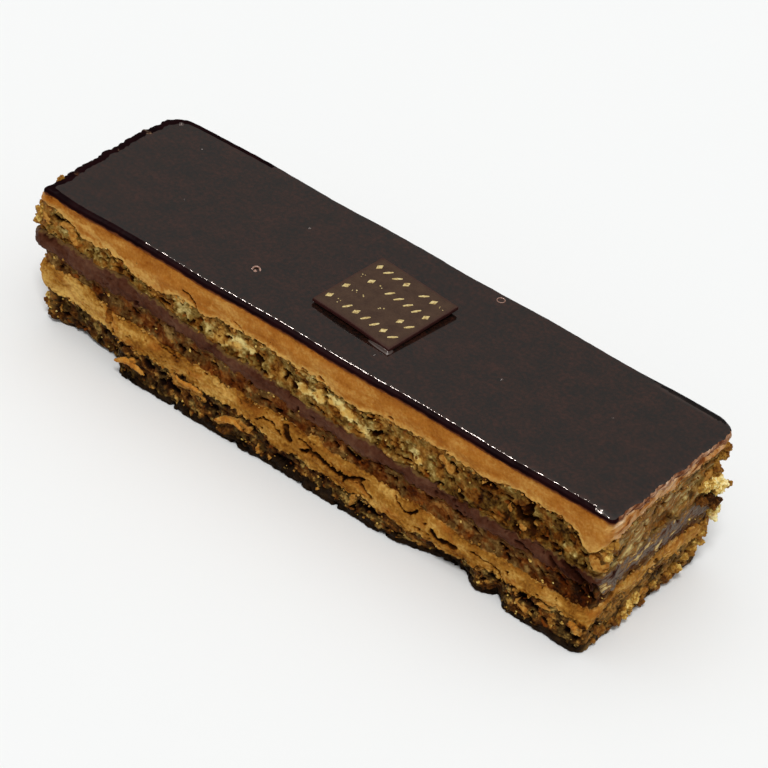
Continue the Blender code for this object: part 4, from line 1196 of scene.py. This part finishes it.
def plaque_grid(cells):
    """The plaque as a closed mesh: two sheets a plaque's thickness apart, with rounded, slightly chipped edges."""
    shares = np.linspace(0, 1, cells + 1)
    shape = bmesh.new()
    snapped = shape.verts.layers.float.new("snapped")
    chance = np.random.default_rng(66)
    chips = 0.05 * chance.random((cells + 1, cells + 1))
    middle = on_plaque(0.5, 0.5)
    loops = []
    for high in (0.0, PLAQUE_THICK):
        loops.append([[None] * (cells + 1) for _ in shares])
        for i, s in enumerate(shares):
            for j, t in enumerate(shares):
                rim = i in (0, cells) or j in (0, cells)
                place = on_plaque(s, t) + (0, 0, high)
                if rim:
                    inward = (middle - place) * (1, 1, 0) / PLAQUE_HALF
                    place = place + inward * (EDGE_ROUND + chips[i, j])
                    place[2] += -0.05 if high else 0.05
                made = shape.verts.new(place * MM)
                made[snapped] = 0.6 if rim else 0.0
                loops[-1][i][j] = made
    for i in range(cells):
        for j in range(cells):
            low, high = [[loop[i][j], loop[i + 1][j], loop[i + 1][j + 1], loop[i][j + 1]] for loop in loops]
            shape.faces.new(low[::-1])
            shape.faces.new(high)
    around = [(i, 0) for i in range(cells)] + [(cells, j) for j in range(cells)]
    around += [(i, cells) for i in range(cells, 0, -1)] + [(0, j) for j in range(cells, 0, -1)]
    waist = []
    for i, j in around:
        low, high = loops[0][i][j].co, loops[1][i][j].co
        outside = ((low + high) / 2 - Vector(middle) * MM) * Vector((1, 1, 0))
        outside *= EDGE_ROUND / PLAQUE_HALF
        made = [shape.verts.new(low.lerp(high, share) + outside) for share in (0.2, 0.5, 0.8)]
        for v in made:
            v[snapped] = 1.0
        waist.append([loops[0][i][j], *made, loops[1][i][j]])
    for here, there in zip(waist, waist[1:] + waist[:1]):
        for row in range(4):
            shape.faces.new((here[row], there[row], there[row + 1], here[row + 1]))
    mesh = bpy.data.meshes.new("plaque_square")
    shape.to_mesh(mesh)
    shape.free()
    mesh.shade_smooth()
    mesh.set_sharp_from_angle(angle=math.radians(25))
    mesh.materials.append(plaque_finish())
    return mesh


plaque = in_scene("plaque_square", plaque_grid(PLAQUE_CELLS))
place_in_scene(plaque, "chocolate_plaque")


def collar_mesh():
    """Glaze that crept up the plaque's nearest corner: a low wedge along both edges, highest at the corner."""
    section = ((-0.30, -0.12), (0.55, -0.12), (0.50, -0.01), (0.30, 0.06), (0.17, 0.17), (0.09, 0.32), (0.03, 0.42),
               (-0.30, 0.42))       # (out from the plaque, up from the glaze)
    spots = [(s, 0.0) for s in np.linspace(0.74, 1.0, 12)] + [(1.0, t) for t in np.linspace(0.01, 0.07, 5)]
    centres = np.array([on_plaque(s, t) for s, t in spots])
    verts = []
    for k, centre in enumerate(centres):
        ahead = centres[min(k + 1, len(centres) - 1)] - centres[max(k - 1, 0)]
        out = np.array([ahead[1], -ahead[0], 0.0]) / np.hypot(ahead[0], ahead[1])
        size = math.sin(math.pi * (k + 0.5) / len(centres)) ** 0.6
        foot = np.array([centre[0], centre[1], cake_top])
        verts += [foot + size * (across * out + np.array([0, 0, high])) for across, high in section]
    return verts, ring_faces(len(centres), len(section), "capped", inside_out=True)


corner_collar = joined_mesh("plaque_collar", [collar_mesh()], bubble_glaze)
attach(corner_collar, "root")


# ---- The gold marks on the plaque ---------------------------------------------------------------------------
# Edible gold printed on the sheet the plaque was cut from: four rows of plain lozenges, slanted bars and dots. The
# print is thin, so some marks are rubbed down to specks.

def gold_tree():
    """Sets one of three flat marks on each point: kind 0 is a lozenge, 1 a slanted bar and 2 a dot."""
    tree, start, end = relief_tree("gold marks", ("Lozenge Length", "Bar Length", "Dot Length", "Thickness"))
    size = start.outputs
    forms = add_node(tree, "GeometryNodeGeometryToInstance")
    for sides, length, narrow, lean in ((8, "Dot Length", 0.9, 0.0), (6, "Bar Length", 0.26, 0.5),
                                        (4, "Lozenge Length", 0.62, 0.3)):
        disc = add_node(tree, "GeometryNodeMeshCylinder", {"Vertices": sides, "Radius": 0.5, "Depth": 1.0})
        wide = maths(tree, "MULTIPLY", size[length], narrow)
        scale = add_node(tree, "ShaderNodeCombineXYZ", {0: wide, 1: size[length], 2: size["Thickness"]})
        flat = add_node(tree, "GeometryNodeTransform", {"Geometry": disc.outputs[0], "Scale": scale.outputs[0]})
        turned = add_node(tree, "GeometryNodeTransform", {"Geometry": flat.outputs[0], "Rotation": (0, 0, -lean)})
        tree.links.new(turned.outputs[0], forms.inputs[0])      # the last form joined is the first to pick
    placed = add_node(tree, "GeometryNodeInstanceOnPoints", {
        "Points": start.outputs["Geometry"], "Instance": forms.outputs[0], "Pick Instance": True,
        "Instance Index": read_value(tree, "kind", "INT"), "Rotation": read_value(tree, "turn", "FLOAT_VECTOR"),
        "Scale": read_value(tree, "size", "FLOAT_VECTOR")})
    end_tree(tree, start, end, placed.outputs[0])
    return tree


def point_cloud(name, places, **values):
    """An object that is only points, with values stored on them for a tree to use."""
    mesh = bpy.data.meshes.new(name)
    mesh.from_pydata([tuple(p * MM for p in place) for place in places], [], [])
    for key, given in values.items():
        given = np.asarray(given, dtype=np.float32)
        kind, field = ("FLOAT_VECTOR", "vector") if given.ndim > 1 else ("FLOAT", "value")
        if key == "kind":
            given, kind = given.astype(np.int32), "INT"
        mesh.attributes.new(key, kind, "POINT").data.foreach_set(field, given.ravel())
    return in_scene(name, mesh)


# Each row: how far back it is from the plaque's middle, where it starts, and its marks from the left: L lozenge,
# B bar, small letters for marks rubbed down to specks, d for a dot rubbed down too, - for none.
MARK_ROWS = ((6.5, -7.1, "LBBL-BLb"), (2.3, -7.3, "bLdBBBBL"), (-2.0, -7.3, "Ldd-d-LB"), (-6.3, -7.4, "LdBLBBLB"))
MARK_PITCH = 2.05
SPECKS = 3              # left of a worn mark
PLAQUE_WIDE, PLAQUE_DEEP = 17.4, 18.4       # the plaque's sides, which turn a place in a row into shares of them

gold = cloudy_finish("edible gold", 0.42, [(0.4, 3.0, 91, 0.5)], [(0.15, (0.30, 0.18, 0.06)),
                     (0.45, (0.62, 0.46, 0.17)), (0.85, (0.86, 0.72, 0.36))], specular=0.5, metallic=0.35)
chance = np.random.default_rng(77)
marks = {"places": [], "kind": [], "turn": [], "size": []}
plaque_right = Vector(on_plaque(0.9, 0.5) - on_plaque(0.1, 0.5)).normalized()
plaque_up = plaque_right.cross(Vector(on_plaque(0.5, 0.9) - on_plaque(0.5, 0.1))).normalized()
plaque_back = plaque_up.cross(plaque_right)
tilt = Matrix((plaque_right, plaque_back, plaque_up)).transposed()
for across, first, row in MARK_ROWS:
    for step, mark in enumerate(row):
        if mark == "-":
            continue
        worn = mark.islower()
        for _ in range(SPECKS if worn else 1):
            shift = chance.uniform(-0.5, 0.5, 2) if worn else chance.uniform(-0.06, 0.06, 2)
            along, over = first + MARK_PITCH * step + shift[0], across + shift[1]
            place = on_plaque(0.5 + along / PLAQUE_WIDE, 0.5 + over / PLAQUE_DEEP)
            marks["places"].append(place + (0, 0, PLAQUE_THICK + 0.01))
            marks["kind"].append(2 if worn else "LB".index(mark))
            marks["turn"].append((tilt @ Matrix.Rotation(chance.normal(0, 0.08), 3, "Z")).to_euler())
            marks["size"].append((1, 1, 1) if not worn else (*chance.uniform(0.25, 0.6, 2), 1))
gold_marks = point_cloud("plaque_gold_marks", **marks)
run_tree(gold_marks, gold_tree(), {"Lozenge Length": 1.7 * MM, "Bar Length": 2.1 * MM, "Dot Length": 0.55 * MM,
                                   "Thickness": 0.03 * MM, "Finish": gold})
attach(gold_marks, "root")


# ---- Crumbs the knife left ----------------------------------------------------------------------------------
# Grains of sponge and beads of cream, torn loose and pressed into the cut faces, thickest along the torn edges
# and at the two short ends, where whole lumps of sponge stand out.

def swell(tree, start, end, geometry, distance):
    """Ends a tree by moving every point along its normal by a distance in metres, and shading the result smooth."""
    offset = vectors(tree, "SCALE", add_node(tree, "GeometryNodeInputNormal").outputs[0], distance)
    moved = add_node(tree, "GeometryNodeSetPosition", {"Geometry": geometry, "Offset": offset}).outputs[0]
    end_tree(tree, start, end, add_node(tree, "GeometryNodeSetShadeSmooth", {"Geometry": moved}).outputs[0])


def loose_tree():
    """Turns each point into an uneven crumb, across metres wide, squashed and turned by its own values."""
    tree, start, end = relief_tree("loose crumbs", ("Rounds", "Uneven", "Rough Size", "Seed"))
    size = start.outputs
    ball = add_node(tree, "GeometryNodeMeshIcoSphere", {"Radius": 0.5})
    rounds = add_node(tree, "FunctionNodeFloatToInt", {0: size["Rounds"]}).outputs[0]
    tree.links.new(rounds, ball.inputs["Subdivisions"])
    placed = add_node(tree, "GeometryNodeInstanceOnPoints", {
        "Points": start.outputs["Geometry"], "Instance": ball.outputs["Mesh"],
        "Rotation": read_value(tree, "turn", "FLOAT_VECTOR"), "Scale": read_value(tree, "size", "FLOAT_VECTOR")})
    real = add_node(tree, "GeometryNodeRealizeInstances", {"Geometry": placed.outputs[0]}).outputs[0]
    place = add_node(tree, "GeometryNodeInputPosition").outputs[0]
    across = maths(tree, "MULTIPLY", read_value(tree, "across"), size["Rough Size"])
    deepest = maths(tree, "MULTIPLY", read_value(tree, "across"), size["Uneven"])
    swell(tree, start, end, real, maths(tree, "MULTIPLY", wavy(tree, place, across, size["Seed"]), deepest))
    return tree


def lump_tree():
    """Melts balls set on the points into one torn, uneven skin, which keeps the tone of the nearest point. Its dips
    are darker and its bumps lighter, as painted shade.
    """
    sizes = ("Skin Size", "Rough Size", "Rough Height", "Fine Size", "Fine Height", "Seed")
    tree, start, end = relief_tree("torn lumps", sizes)
    size = start.outputs
    points = add_node(tree, "GeometryNodeMeshToPoints", {"Mesh": start.outputs["Geometry"]}).outputs[0]
    cloudy = add_node(tree, "GeometryNodePointsToVolume", {
        "Points": points, "Voxel Size": size["Skin Size"], "Radius": read_value(tree, "across")},
        resolution_mode="VOXEL_SIZE")
    skin = add_node(tree, "GeometryNodeVolumeToMesh", {"Volume": cloudy.outputs[0], "Threshold": 0.1}).outputs[0]
    place = add_node(tree, "GeometryNodeInputPosition").outputs[0]
    nearest = add_node(tree, "GeometryNodeSampleNearest", {"Geometry": points, "Sample Position": place},
                       domain="POINT").outputs[0]
    tone = add_node(tree, "GeometryNodeSampleIndex", {"Geometry": points, "Value": read_value(tree, "tone"),
                    "Index": nearest}, data_type="FLOAT", domain="POINT").outputs[0]
    rough = maths(tree, "MULTIPLY", wavy(tree, place, size["Rough Size"], size["Seed"]), size["Rough Height"])
    fine = maths(tree, "MULTIPLY", wavy(tree, place, size["Fine Size"], size["Seed"]), size["Fine Height"])
    # The tone follows the relief: painted shade in the dips, lighter on the bumps.
    toned = keep_value(tree, skin, "tone", add_up(tree, tone, (rough, 0.25), (fine, 0.9)))
    swell(tree, start, end, toned, maths(tree, "MULTIPLY", maths(tree, "ADD", rough, fine), MM))
    return tree


def crumb_finish(name, stops):
    """Loose crumb or cream: a colour of its own for each crumb, with a fine mottling."""
    made, tree = finish(name, 0.5, specular=0.05, subsurface=0.1, tint=WARM)
    value = add_up(tree, stored(tree, "tone"), (speckle(tree, 0.6, 2.0, 93), 0.15))
    return covered(made, shades(tree, value, stops), bump=(0.25, 2.0, 95, 0.03))


REACH_SHARES = np.linspace(0.1, 0.9, 9)     # of a layer's height, where its reach is looked up
reach_table = [reach_of(number, REACH_SHARES) for number in range(len(STACK))]


def on_face(along, height):
    """The place on the cut face at a run and a height, and which way is out there."""
    i = int(np.argmin(np.abs(run - along)))
    number = int(sum(seams[k][i] <= height for k in range(1, len(STACK))))
    low, high = seams[number][i], seams[number + 1][i]
    out = np.interp((height - low) / (high - low), REACH_SHARES, reach_table[number][i])
    return np.array([*(base_points[i] + outward[i] * out), height]), np.array([*outward[i], 0.0])


def nearest_run(x, y):
    """The run of the column that a place is nearest to."""
    return run[np.argmin(np.hypot(base_points[:, 0] - x, base_points[:, 1] - y))]


def loose_crumbs(name, spots, made, seed):
    """A piece of crumbs with the finish made, from spots: (place, width, tone from 0 to 1, length for width)."""
    chance = np.random.default_rng(seed)
    places, across, tone, size, turn = [], [], [], [], []
    for place, width, shade, long in spots:
        places.append(place)
        across.append(width * MM)
        tone.append(shade)
        squash = chance.uniform(0.65, 1.0, 2)
        size.append((width * MM * long, width * MM * squash[0], width * MM * squash[1]))
        turn.append(chance.uniform(-0.6, 0.6, 3) if long > 1.3 else chance.uniform(0, 6.28, 3))
    piece = point_cloud(name, places, across=across, tone=tone, size=size, turn=turn)
    run_tree(piece, loose, {"Rounds": 2.0, "Uneven": 0.3, "Rough Size": 0.7, "Seed": float(seed), "Finish": made})
    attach(piece, "root")


def scattered(count, bands, seed, widths, tones):
    """Spots by chance along the bar, in bands: (seam, how far below it and above it), most of them narrow."""
    chance = np.random.default_rng(seed)
    spots = []
    for _ in range(count):
        seam, below, over = bands[chance.integers(len(bands))]
        i = chance.integers(COLUMNS)
        place, out = on_face(run[i], np.clip(edges[seam][i] + chance.uniform(-below, over), 0.3, cake_top - 1.2))
        width = widths[0] + (widths[1] - widths[0]) * chance.random() ** 2.5
        spots.append((place - out * (0.1 + 0.15 * width), width, chance.uniform(*tones),
                      chance.choice([1.0, 1.0, 1.5])))
    return spots


loose = loose_tree()
sponge_crumb = crumb_finish("sponge crumb", [
    (0.0, (0.03, 0.010, 0.003)), (0.35, (0.17, 0.06, 0.010)), (0.65, (0.38, 0.19, 0.032)),
    (0.85, (0.74, 0.50, 0.13)), (1.0, (1.0, 0.84, 0.42))])
cream_crumb = crumb_finish("cream crumb", [
    (0.0, (0.16, 0.055, 0.010)), (0.5, (0.36, 0.16, 0.028)), (1.0, (0.55, 0.31, 0.08))])
loose_crumbs("sponge_crumbs", scattered(
    620, ((1, 0.2, 4.5), (3, 0.2, 3.5), (5, 0.2, 6.5), (1, 0.0, 2.0)), seed=301, widths=(0.2, 0.62),
    tones=(0.1, 0.85)), sponge_crumb, seed=1)
loose_crumbs("cream_crumbs", scattered(
    520, ((2, 1.0, 0.3), (3, 0.3, 0.5), (6, 0.9, 0.2), (6, 0.6, 0.2)), seed=302, widths=(0.2, 0.6),
    tones=(0.3, 0.9)), cream_crumb, seed=2)

# Lumps that stand out at the short ends and at the back: x and y of the column they are on, height, width, tone,
# and how far they stand out.
END_LUMPS = (
    (62, 14.2, 26.9, 1.7, 0.45, 0.4), (62, 15.6, 26.0, 1.4, 0.50, 0.4), (62, 14.6, 24.8, 2.0, 0.50, 0.4),
    (62, 12.6, 23.8, 2.0, 0.48, 0.3), (62, 13.4, 22.2, 2.2, 0.55, 0.4), (62, 9.6, 20.8, 2.4, 0.62, 0.2),
    (62, 10.8, 20.3, 2.8, 0.78, 0.5), (62, 12.6, 20.0, 3.2, 0.86, 0.6), (62, 14.2, 19.2, 3.2, 0.94, 0.8),
    (62, 15.4, 18.6, 2.6, 0.97, 1.1), (62, 16.3, 18.1, 1.9, 0.90, 1.6), (62, 16.9, 18.0, 1.3, 0.45, 2.2),
    (62, 14.6, 18.2, 2.0, 0.88, 0.9), (62, 9.6, 18.0, 2.0, 0.06, 0.5), (62, 11.6, 17.0, 2.2, 0.03, 0.8),
    (62, 13.2, 16.3, 2.0, 0.02, 1.1), (62, 14.3, 15.9, 1.4, 0.06, 1.4),
    (62, 14.4, 13.4, 2.0, 0.80, 0.8), (62, 15.8, 12.8, 2.2, 0.92, 1.3), (62, 16.8, 12.6, 1.5, 0.75, 2.0),
    (62, -14.6, 1.2, 1.0, 0.25, 0.0), (62, -11.6, 1.8, 2.2, 0.36, 0.1), (62, -9.9, 1.2, 1.0, 0.20, 0.1),
    (62, -7.0, 1.6, 1.6, 0.45, 0.1), (62, -3.4, 1.4, 1.2, 0.55, 0.4), (62, -0.4, 2.0, 2.6, 0.35, 0.0),
    (62, 4.6, 1.4, 1.3, 0.30, 0.1), (62, 7.6, 1.8, 2.4, 0.42, 0.2), (62, 9.6, 1.3, 1.1, 0.20, 0.3),
    (62, 12.6, 1.8, 1.5, 0.40, 0.1), (62, 14.0, 10.0, 2.2, 0.50, 0.4), (62, 14.8, 8.2, 2.2, 0.60, 0.5),
    (62, 14.6, 6.2, 2.0, 0.62, 0.5), (62, 13.8, 4.4, 2.2, 0.64, 0.6), (62, 11.8, 3.6, 2.0, 0.55, 0.4),
    (62, 2.4, 3.4, 1.6, 0.50, 0.2), (62, -2.6, 3.6, 1.9, 0.72, 0.6), (62, -4.2, 2.8, 2.0, 0.66, 0.5),
    (62, -5.6, 2.4, 1.5, 0.55, 0.4), (62, -9.0, 2.2, 1.3, 0.35, 0.2), (62, 6.4, 2.8, 1.6, 0.45, 0.3),
    (62, 8.8, 3.2, 1.8, 0.58, 0.4), (62, -13.6, 3.0, 1.3, 0.35, 0.1), (62, -17.4, 22.8, 2.2, 0.50, 0.0),
    (62, -17.2, 20.4, 2.2, 0.62, -0.2),
    (-62, -13.2, 28.2, 1.7, 0.38, 0.6), (-62, -16.2, 23.8, 2.6, 0.68, 0.4), (-62, -17.2, 22.6, 2.0, 0.62, 0.3),
    (-62, -15.6, 21.8, 2.2, 0.55, 0.5), (-62, -16.4, 20.8, 1.8, 0.55, 0.6), (-62, -14.8, 24.6, 1.8, 0.60, 0.3),
    (-62, -13.8, 12.6, 1.2, 0.80, 0.5), (-62, -13.0, 9.8, 1.2, 0.45, 0.5), (-62, -13.4, 6.4, 1.6, 0.50, 0.5),
    (-62, -13.6, 4.8, 1.9, 0.58, 0.4), (-62, -14.6, 3.4, 1.4, 0.50, 0.3), (-62, -4.0, 21.5, 1.6, 0.50, 0.4),
    (-62, 5.0, 20.0, 1.8, 0.60, 0.4), (-62, 11.0, 22.0, 1.5, 0.45, 0.4), (-62, 9.0, 5.0, 1.4, 0.40, 0.4),
    (-62, 0.0, 4.0, 1.3, 0.55, 0.4),
    (-50, 18.5, 20.0, 1.4, 0.50, 0.3), (-20, 18.5, 5.0, 1.5, 0.45, 0.4), (24, 18.5, 21.0, 1.6, 0.60, 0.3),
)
chance = np.random.default_rng(88)
lumps = []
for x, y, high, width, tone, proud in END_LUMPS:
    place, out = on_face(nearest_run(x, y), high)
    middle = place + out * (proud - 0.3 * width)
    lumps.append((middle, 0.42 * width, tone))
    for _ in range(3):
        near = middle + np.clip(chance.normal(0, 0.22 * width, 3), -0.35 * width, 0.35 * width)
        lumps.append((near, width * chance.uniform(0.26, 0.36), np.clip(tone + chance.normal(0, 0.12), 0, 1)))
end_crumbs = point_cloud("end_crumbs", [place for place, _, _ in lumps], across=[wide * MM for _, wide, _ in lumps],
                         tone=[tone for _, _, tone in lumps])
run_tree(end_crumbs, lump_tree(), {
    "Skin Size": 0.14 * MM, "Rough Size": 0.9 * MM, "Rough Height": 0.42, "Fine Size": 0.36 * MM,
    "Fine Height": 0.17, "Seed": 3.0, "Finish": sponge_crumb})
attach(end_crumbs, "root")


# ---- Torn flakes --------------------------------------------------------------------------------------------
# Strips of coffee cream and soaked crumb that the knife tore off the lower layers. They hang from the cut face,
# and the longest curls out past the step in the base.

FLAKE_LINES = (     # the middle line of each, as (x, z) on the front, its half width, how far it stands out
    (((-40.0, 3.4), (-39.0, 3.9), (-38.0, 4.5), (-37.0, 4.7), (-35.9, 4.5), (-34.5, 4.3), (-33.2, 4.0)),
     0.66, 0.30),
    (((-37.0, 4.7), (-36.3, 5.4), (-35.4, 5.5)), 0.50, 0.20),
    (((-26.6, 7.6), (-25.6, 6.9), (-24.6, 6.9), (-23.4, 7.2), (-21.8, 7.1), (-20.8, 7.2)), 0.45, 0.10),
    (((-17.4, 3.3), (-15.6, 4.6), (-13.4, 5.2), (-11.4, 4.5)), 0.6, 0.05),
    (((57.4, 5.9), (58.6, 5.5), (59.4, 4.6)), 0.85, 0.35),
)


def flake(line, half_width, proud, seed):
    """A torn strip, thin and uneven, that follows a line on the front of the cake."""
    steps, ring = 26, 10
    chance = np.random.default_rng(seed)
    line = np.array(line, dtype=float)
    lengths = np.concatenate([[0], np.cumsum(np.hypot(*np.diff(line, axis=0).T))])
    along = np.linspace(0, lengths[-1], steps)
    wobble = chance.normal(0, 0.05, (steps, 2))
    path = np.stack([np.interp(along, lengths, line[:, k]) for k in range(2)], axis=1) + wobble
    heading = np.gradient(path, axis=0)
    heading /= np.linalg.norm(heading, axis=1)[:, None]
    wide = half_width * np.sin(np.pi * (np.arange(steps) + 0.5) / steps) ** 0.45 * chance.uniform(0.75, 1.15, steps)
    verts = []
    for k, (x, z) in enumerate(path):
        place, out = on_face(x, z)
        front = middle_y - half_y + 0.3
        place[1] = min(place[1], front) - proud
        across = np.array([-heading[k, 1], 0.0, heading[k, 0]])
        for turn in np.linspace(0, 2 * math.pi, ring, endpoint=False):
            shape = across * wide[k] * math.cos(turn) + out * 0.6 * wide[k] * math.sin(turn)
            verts.append(place * (0, 1, 0) + np.array([x, 0, z]) + shape * chance.uniform(0.9, 1.1))
    return verts, ring_faces(steps, ring, "capped")


torn_cream = cloudy_finish(
    "torn cream", 0.45, ((1.6, 3.0, 97, 0.3), (0.4, 2.0, 98, 0.15)),
    [(0.1, (0.20, 0.06, 0.008)), (0.45, (0.46, 0.18, 0.024)), (0.9, (0.64, 0.36, 0.08))], bump=(0.3, 2.0, 99, 0.04),
    specular=0.05, subsurface=0.1, tint=WARM)
flakes = joined_mesh("torn_flakes", [flake(line, wide, proud, 500 + k)
                                     for k, (line, wide, proud) in enumerate(FLAKE_LINES)], torn_cream)
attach(flakes, "root")


# ---- Floor, light and camera --------------------------------------------------------------------------------
# A plain white sweep in a light tent: soft light from everywhere, brighter overhead, and a broad lamp above the
# camera's side. A small window behind the left end only glints, in the edge of the glaze and in moist crumb.

bpy.ops.mesh.primitive_plane_add(size=3.0, location=(0, 0, -0.00002))
floor = bpy.context.object
floor.name = "floor"
floor_look, tree = finish("white sweep", 0.9, specular=0.1)
tree.nodes["Principled BSDF"].inputs["Base Color"].default_value = (0.88, 0.89, 0.885, 1.0)
floor.data.materials.append(floor_look)

world = bpy.data.worlds.new("tent")
bpy.context.scene.world = world
world.use_nodes = True
sky = world.node_tree
looking = add_node(sky, "ShaderNodeTexCoord").outputs["Generated"]
up = add_node(sky, "ShaderNodeSeparateXYZ", {0: looking}).outputs[2]
glow = maths(sky, "MULTIPLY_ADD", step_up(sky, up, 0.55, 1.0), 0.70, 0.40)
background = sky.nodes["Background"]
background.inputs["Color"].default_value = (1.0, 1.0, 1.0, 1.0)
sky.links.new(glow, background.inputs["Strength"])


def distant_lamp(name, energy, across, direction):
    """A lamp far off in a direction, and as many degrees across as the patch of sky that it fills."""
    lamp = bpy.data.lights.new(name, "SUN")
    lamp.energy = energy
    lamp.angle = math.radians(across)
    stand = in_scene(name, lamp)
    stand.rotation_euler = Vector(direction).to_track_quat("Z", "Y").to_euler()
    return stand


distant_lamp("studio_lamp", 1.48, 12, (0.265, -0.459, 0.848))
distant_lamp("studio_window", 0.7, 4, (-0.437, 0.130, 0.891)).visible_diffuse = False

CAMERA_AZIMUTH, CAMERA_HEIGHT, CAMERA_ROLL = 33.02, 36.74, -9.09    # degrees
CAMERA_DISTANCE = 0.62885       # metres, as AIM is
FOCAL_LENGTH, SENSOR_WIDTH = 175.2, 36.0
AIM = Vector((0.00400, -0.00066, 0.01432))

azimuth, climb, roll = (math.radians(a) for a in (CAMERA_AZIMUTH, CAMERA_HEIGHT, CAMERA_ROLL))
back = Vector((math.sin(azimuth) * math.cos(climb), -math.cos(azimuth) * math.cos(climb), math.sin(climb)))
side = Vector((0, 0, 1)).cross(back).normalized()
above = back.cross(side)
turned_side = math.cos(roll) * side - math.sin(roll) * above
turned_above = math.sin(roll) * side + math.cos(roll) * above
lens = bpy.data.cameras.new("camera")
lens.lens = FOCAL_LENGTH
lens.sensor_width = SENSOR_WIDTH
lens.clip_start = 0.01
camera = in_scene("camera", lens)
pose = Matrix((turned_side, turned_above, back)).transposed().to_4x4()
camera.matrix_world = Matrix.Translation(AIM + back * CAMERA_DISTANCE) @ pose
bpy.context.scene.camera = camera
bpy.context.scene.view_settings.view_transform = "Standard"
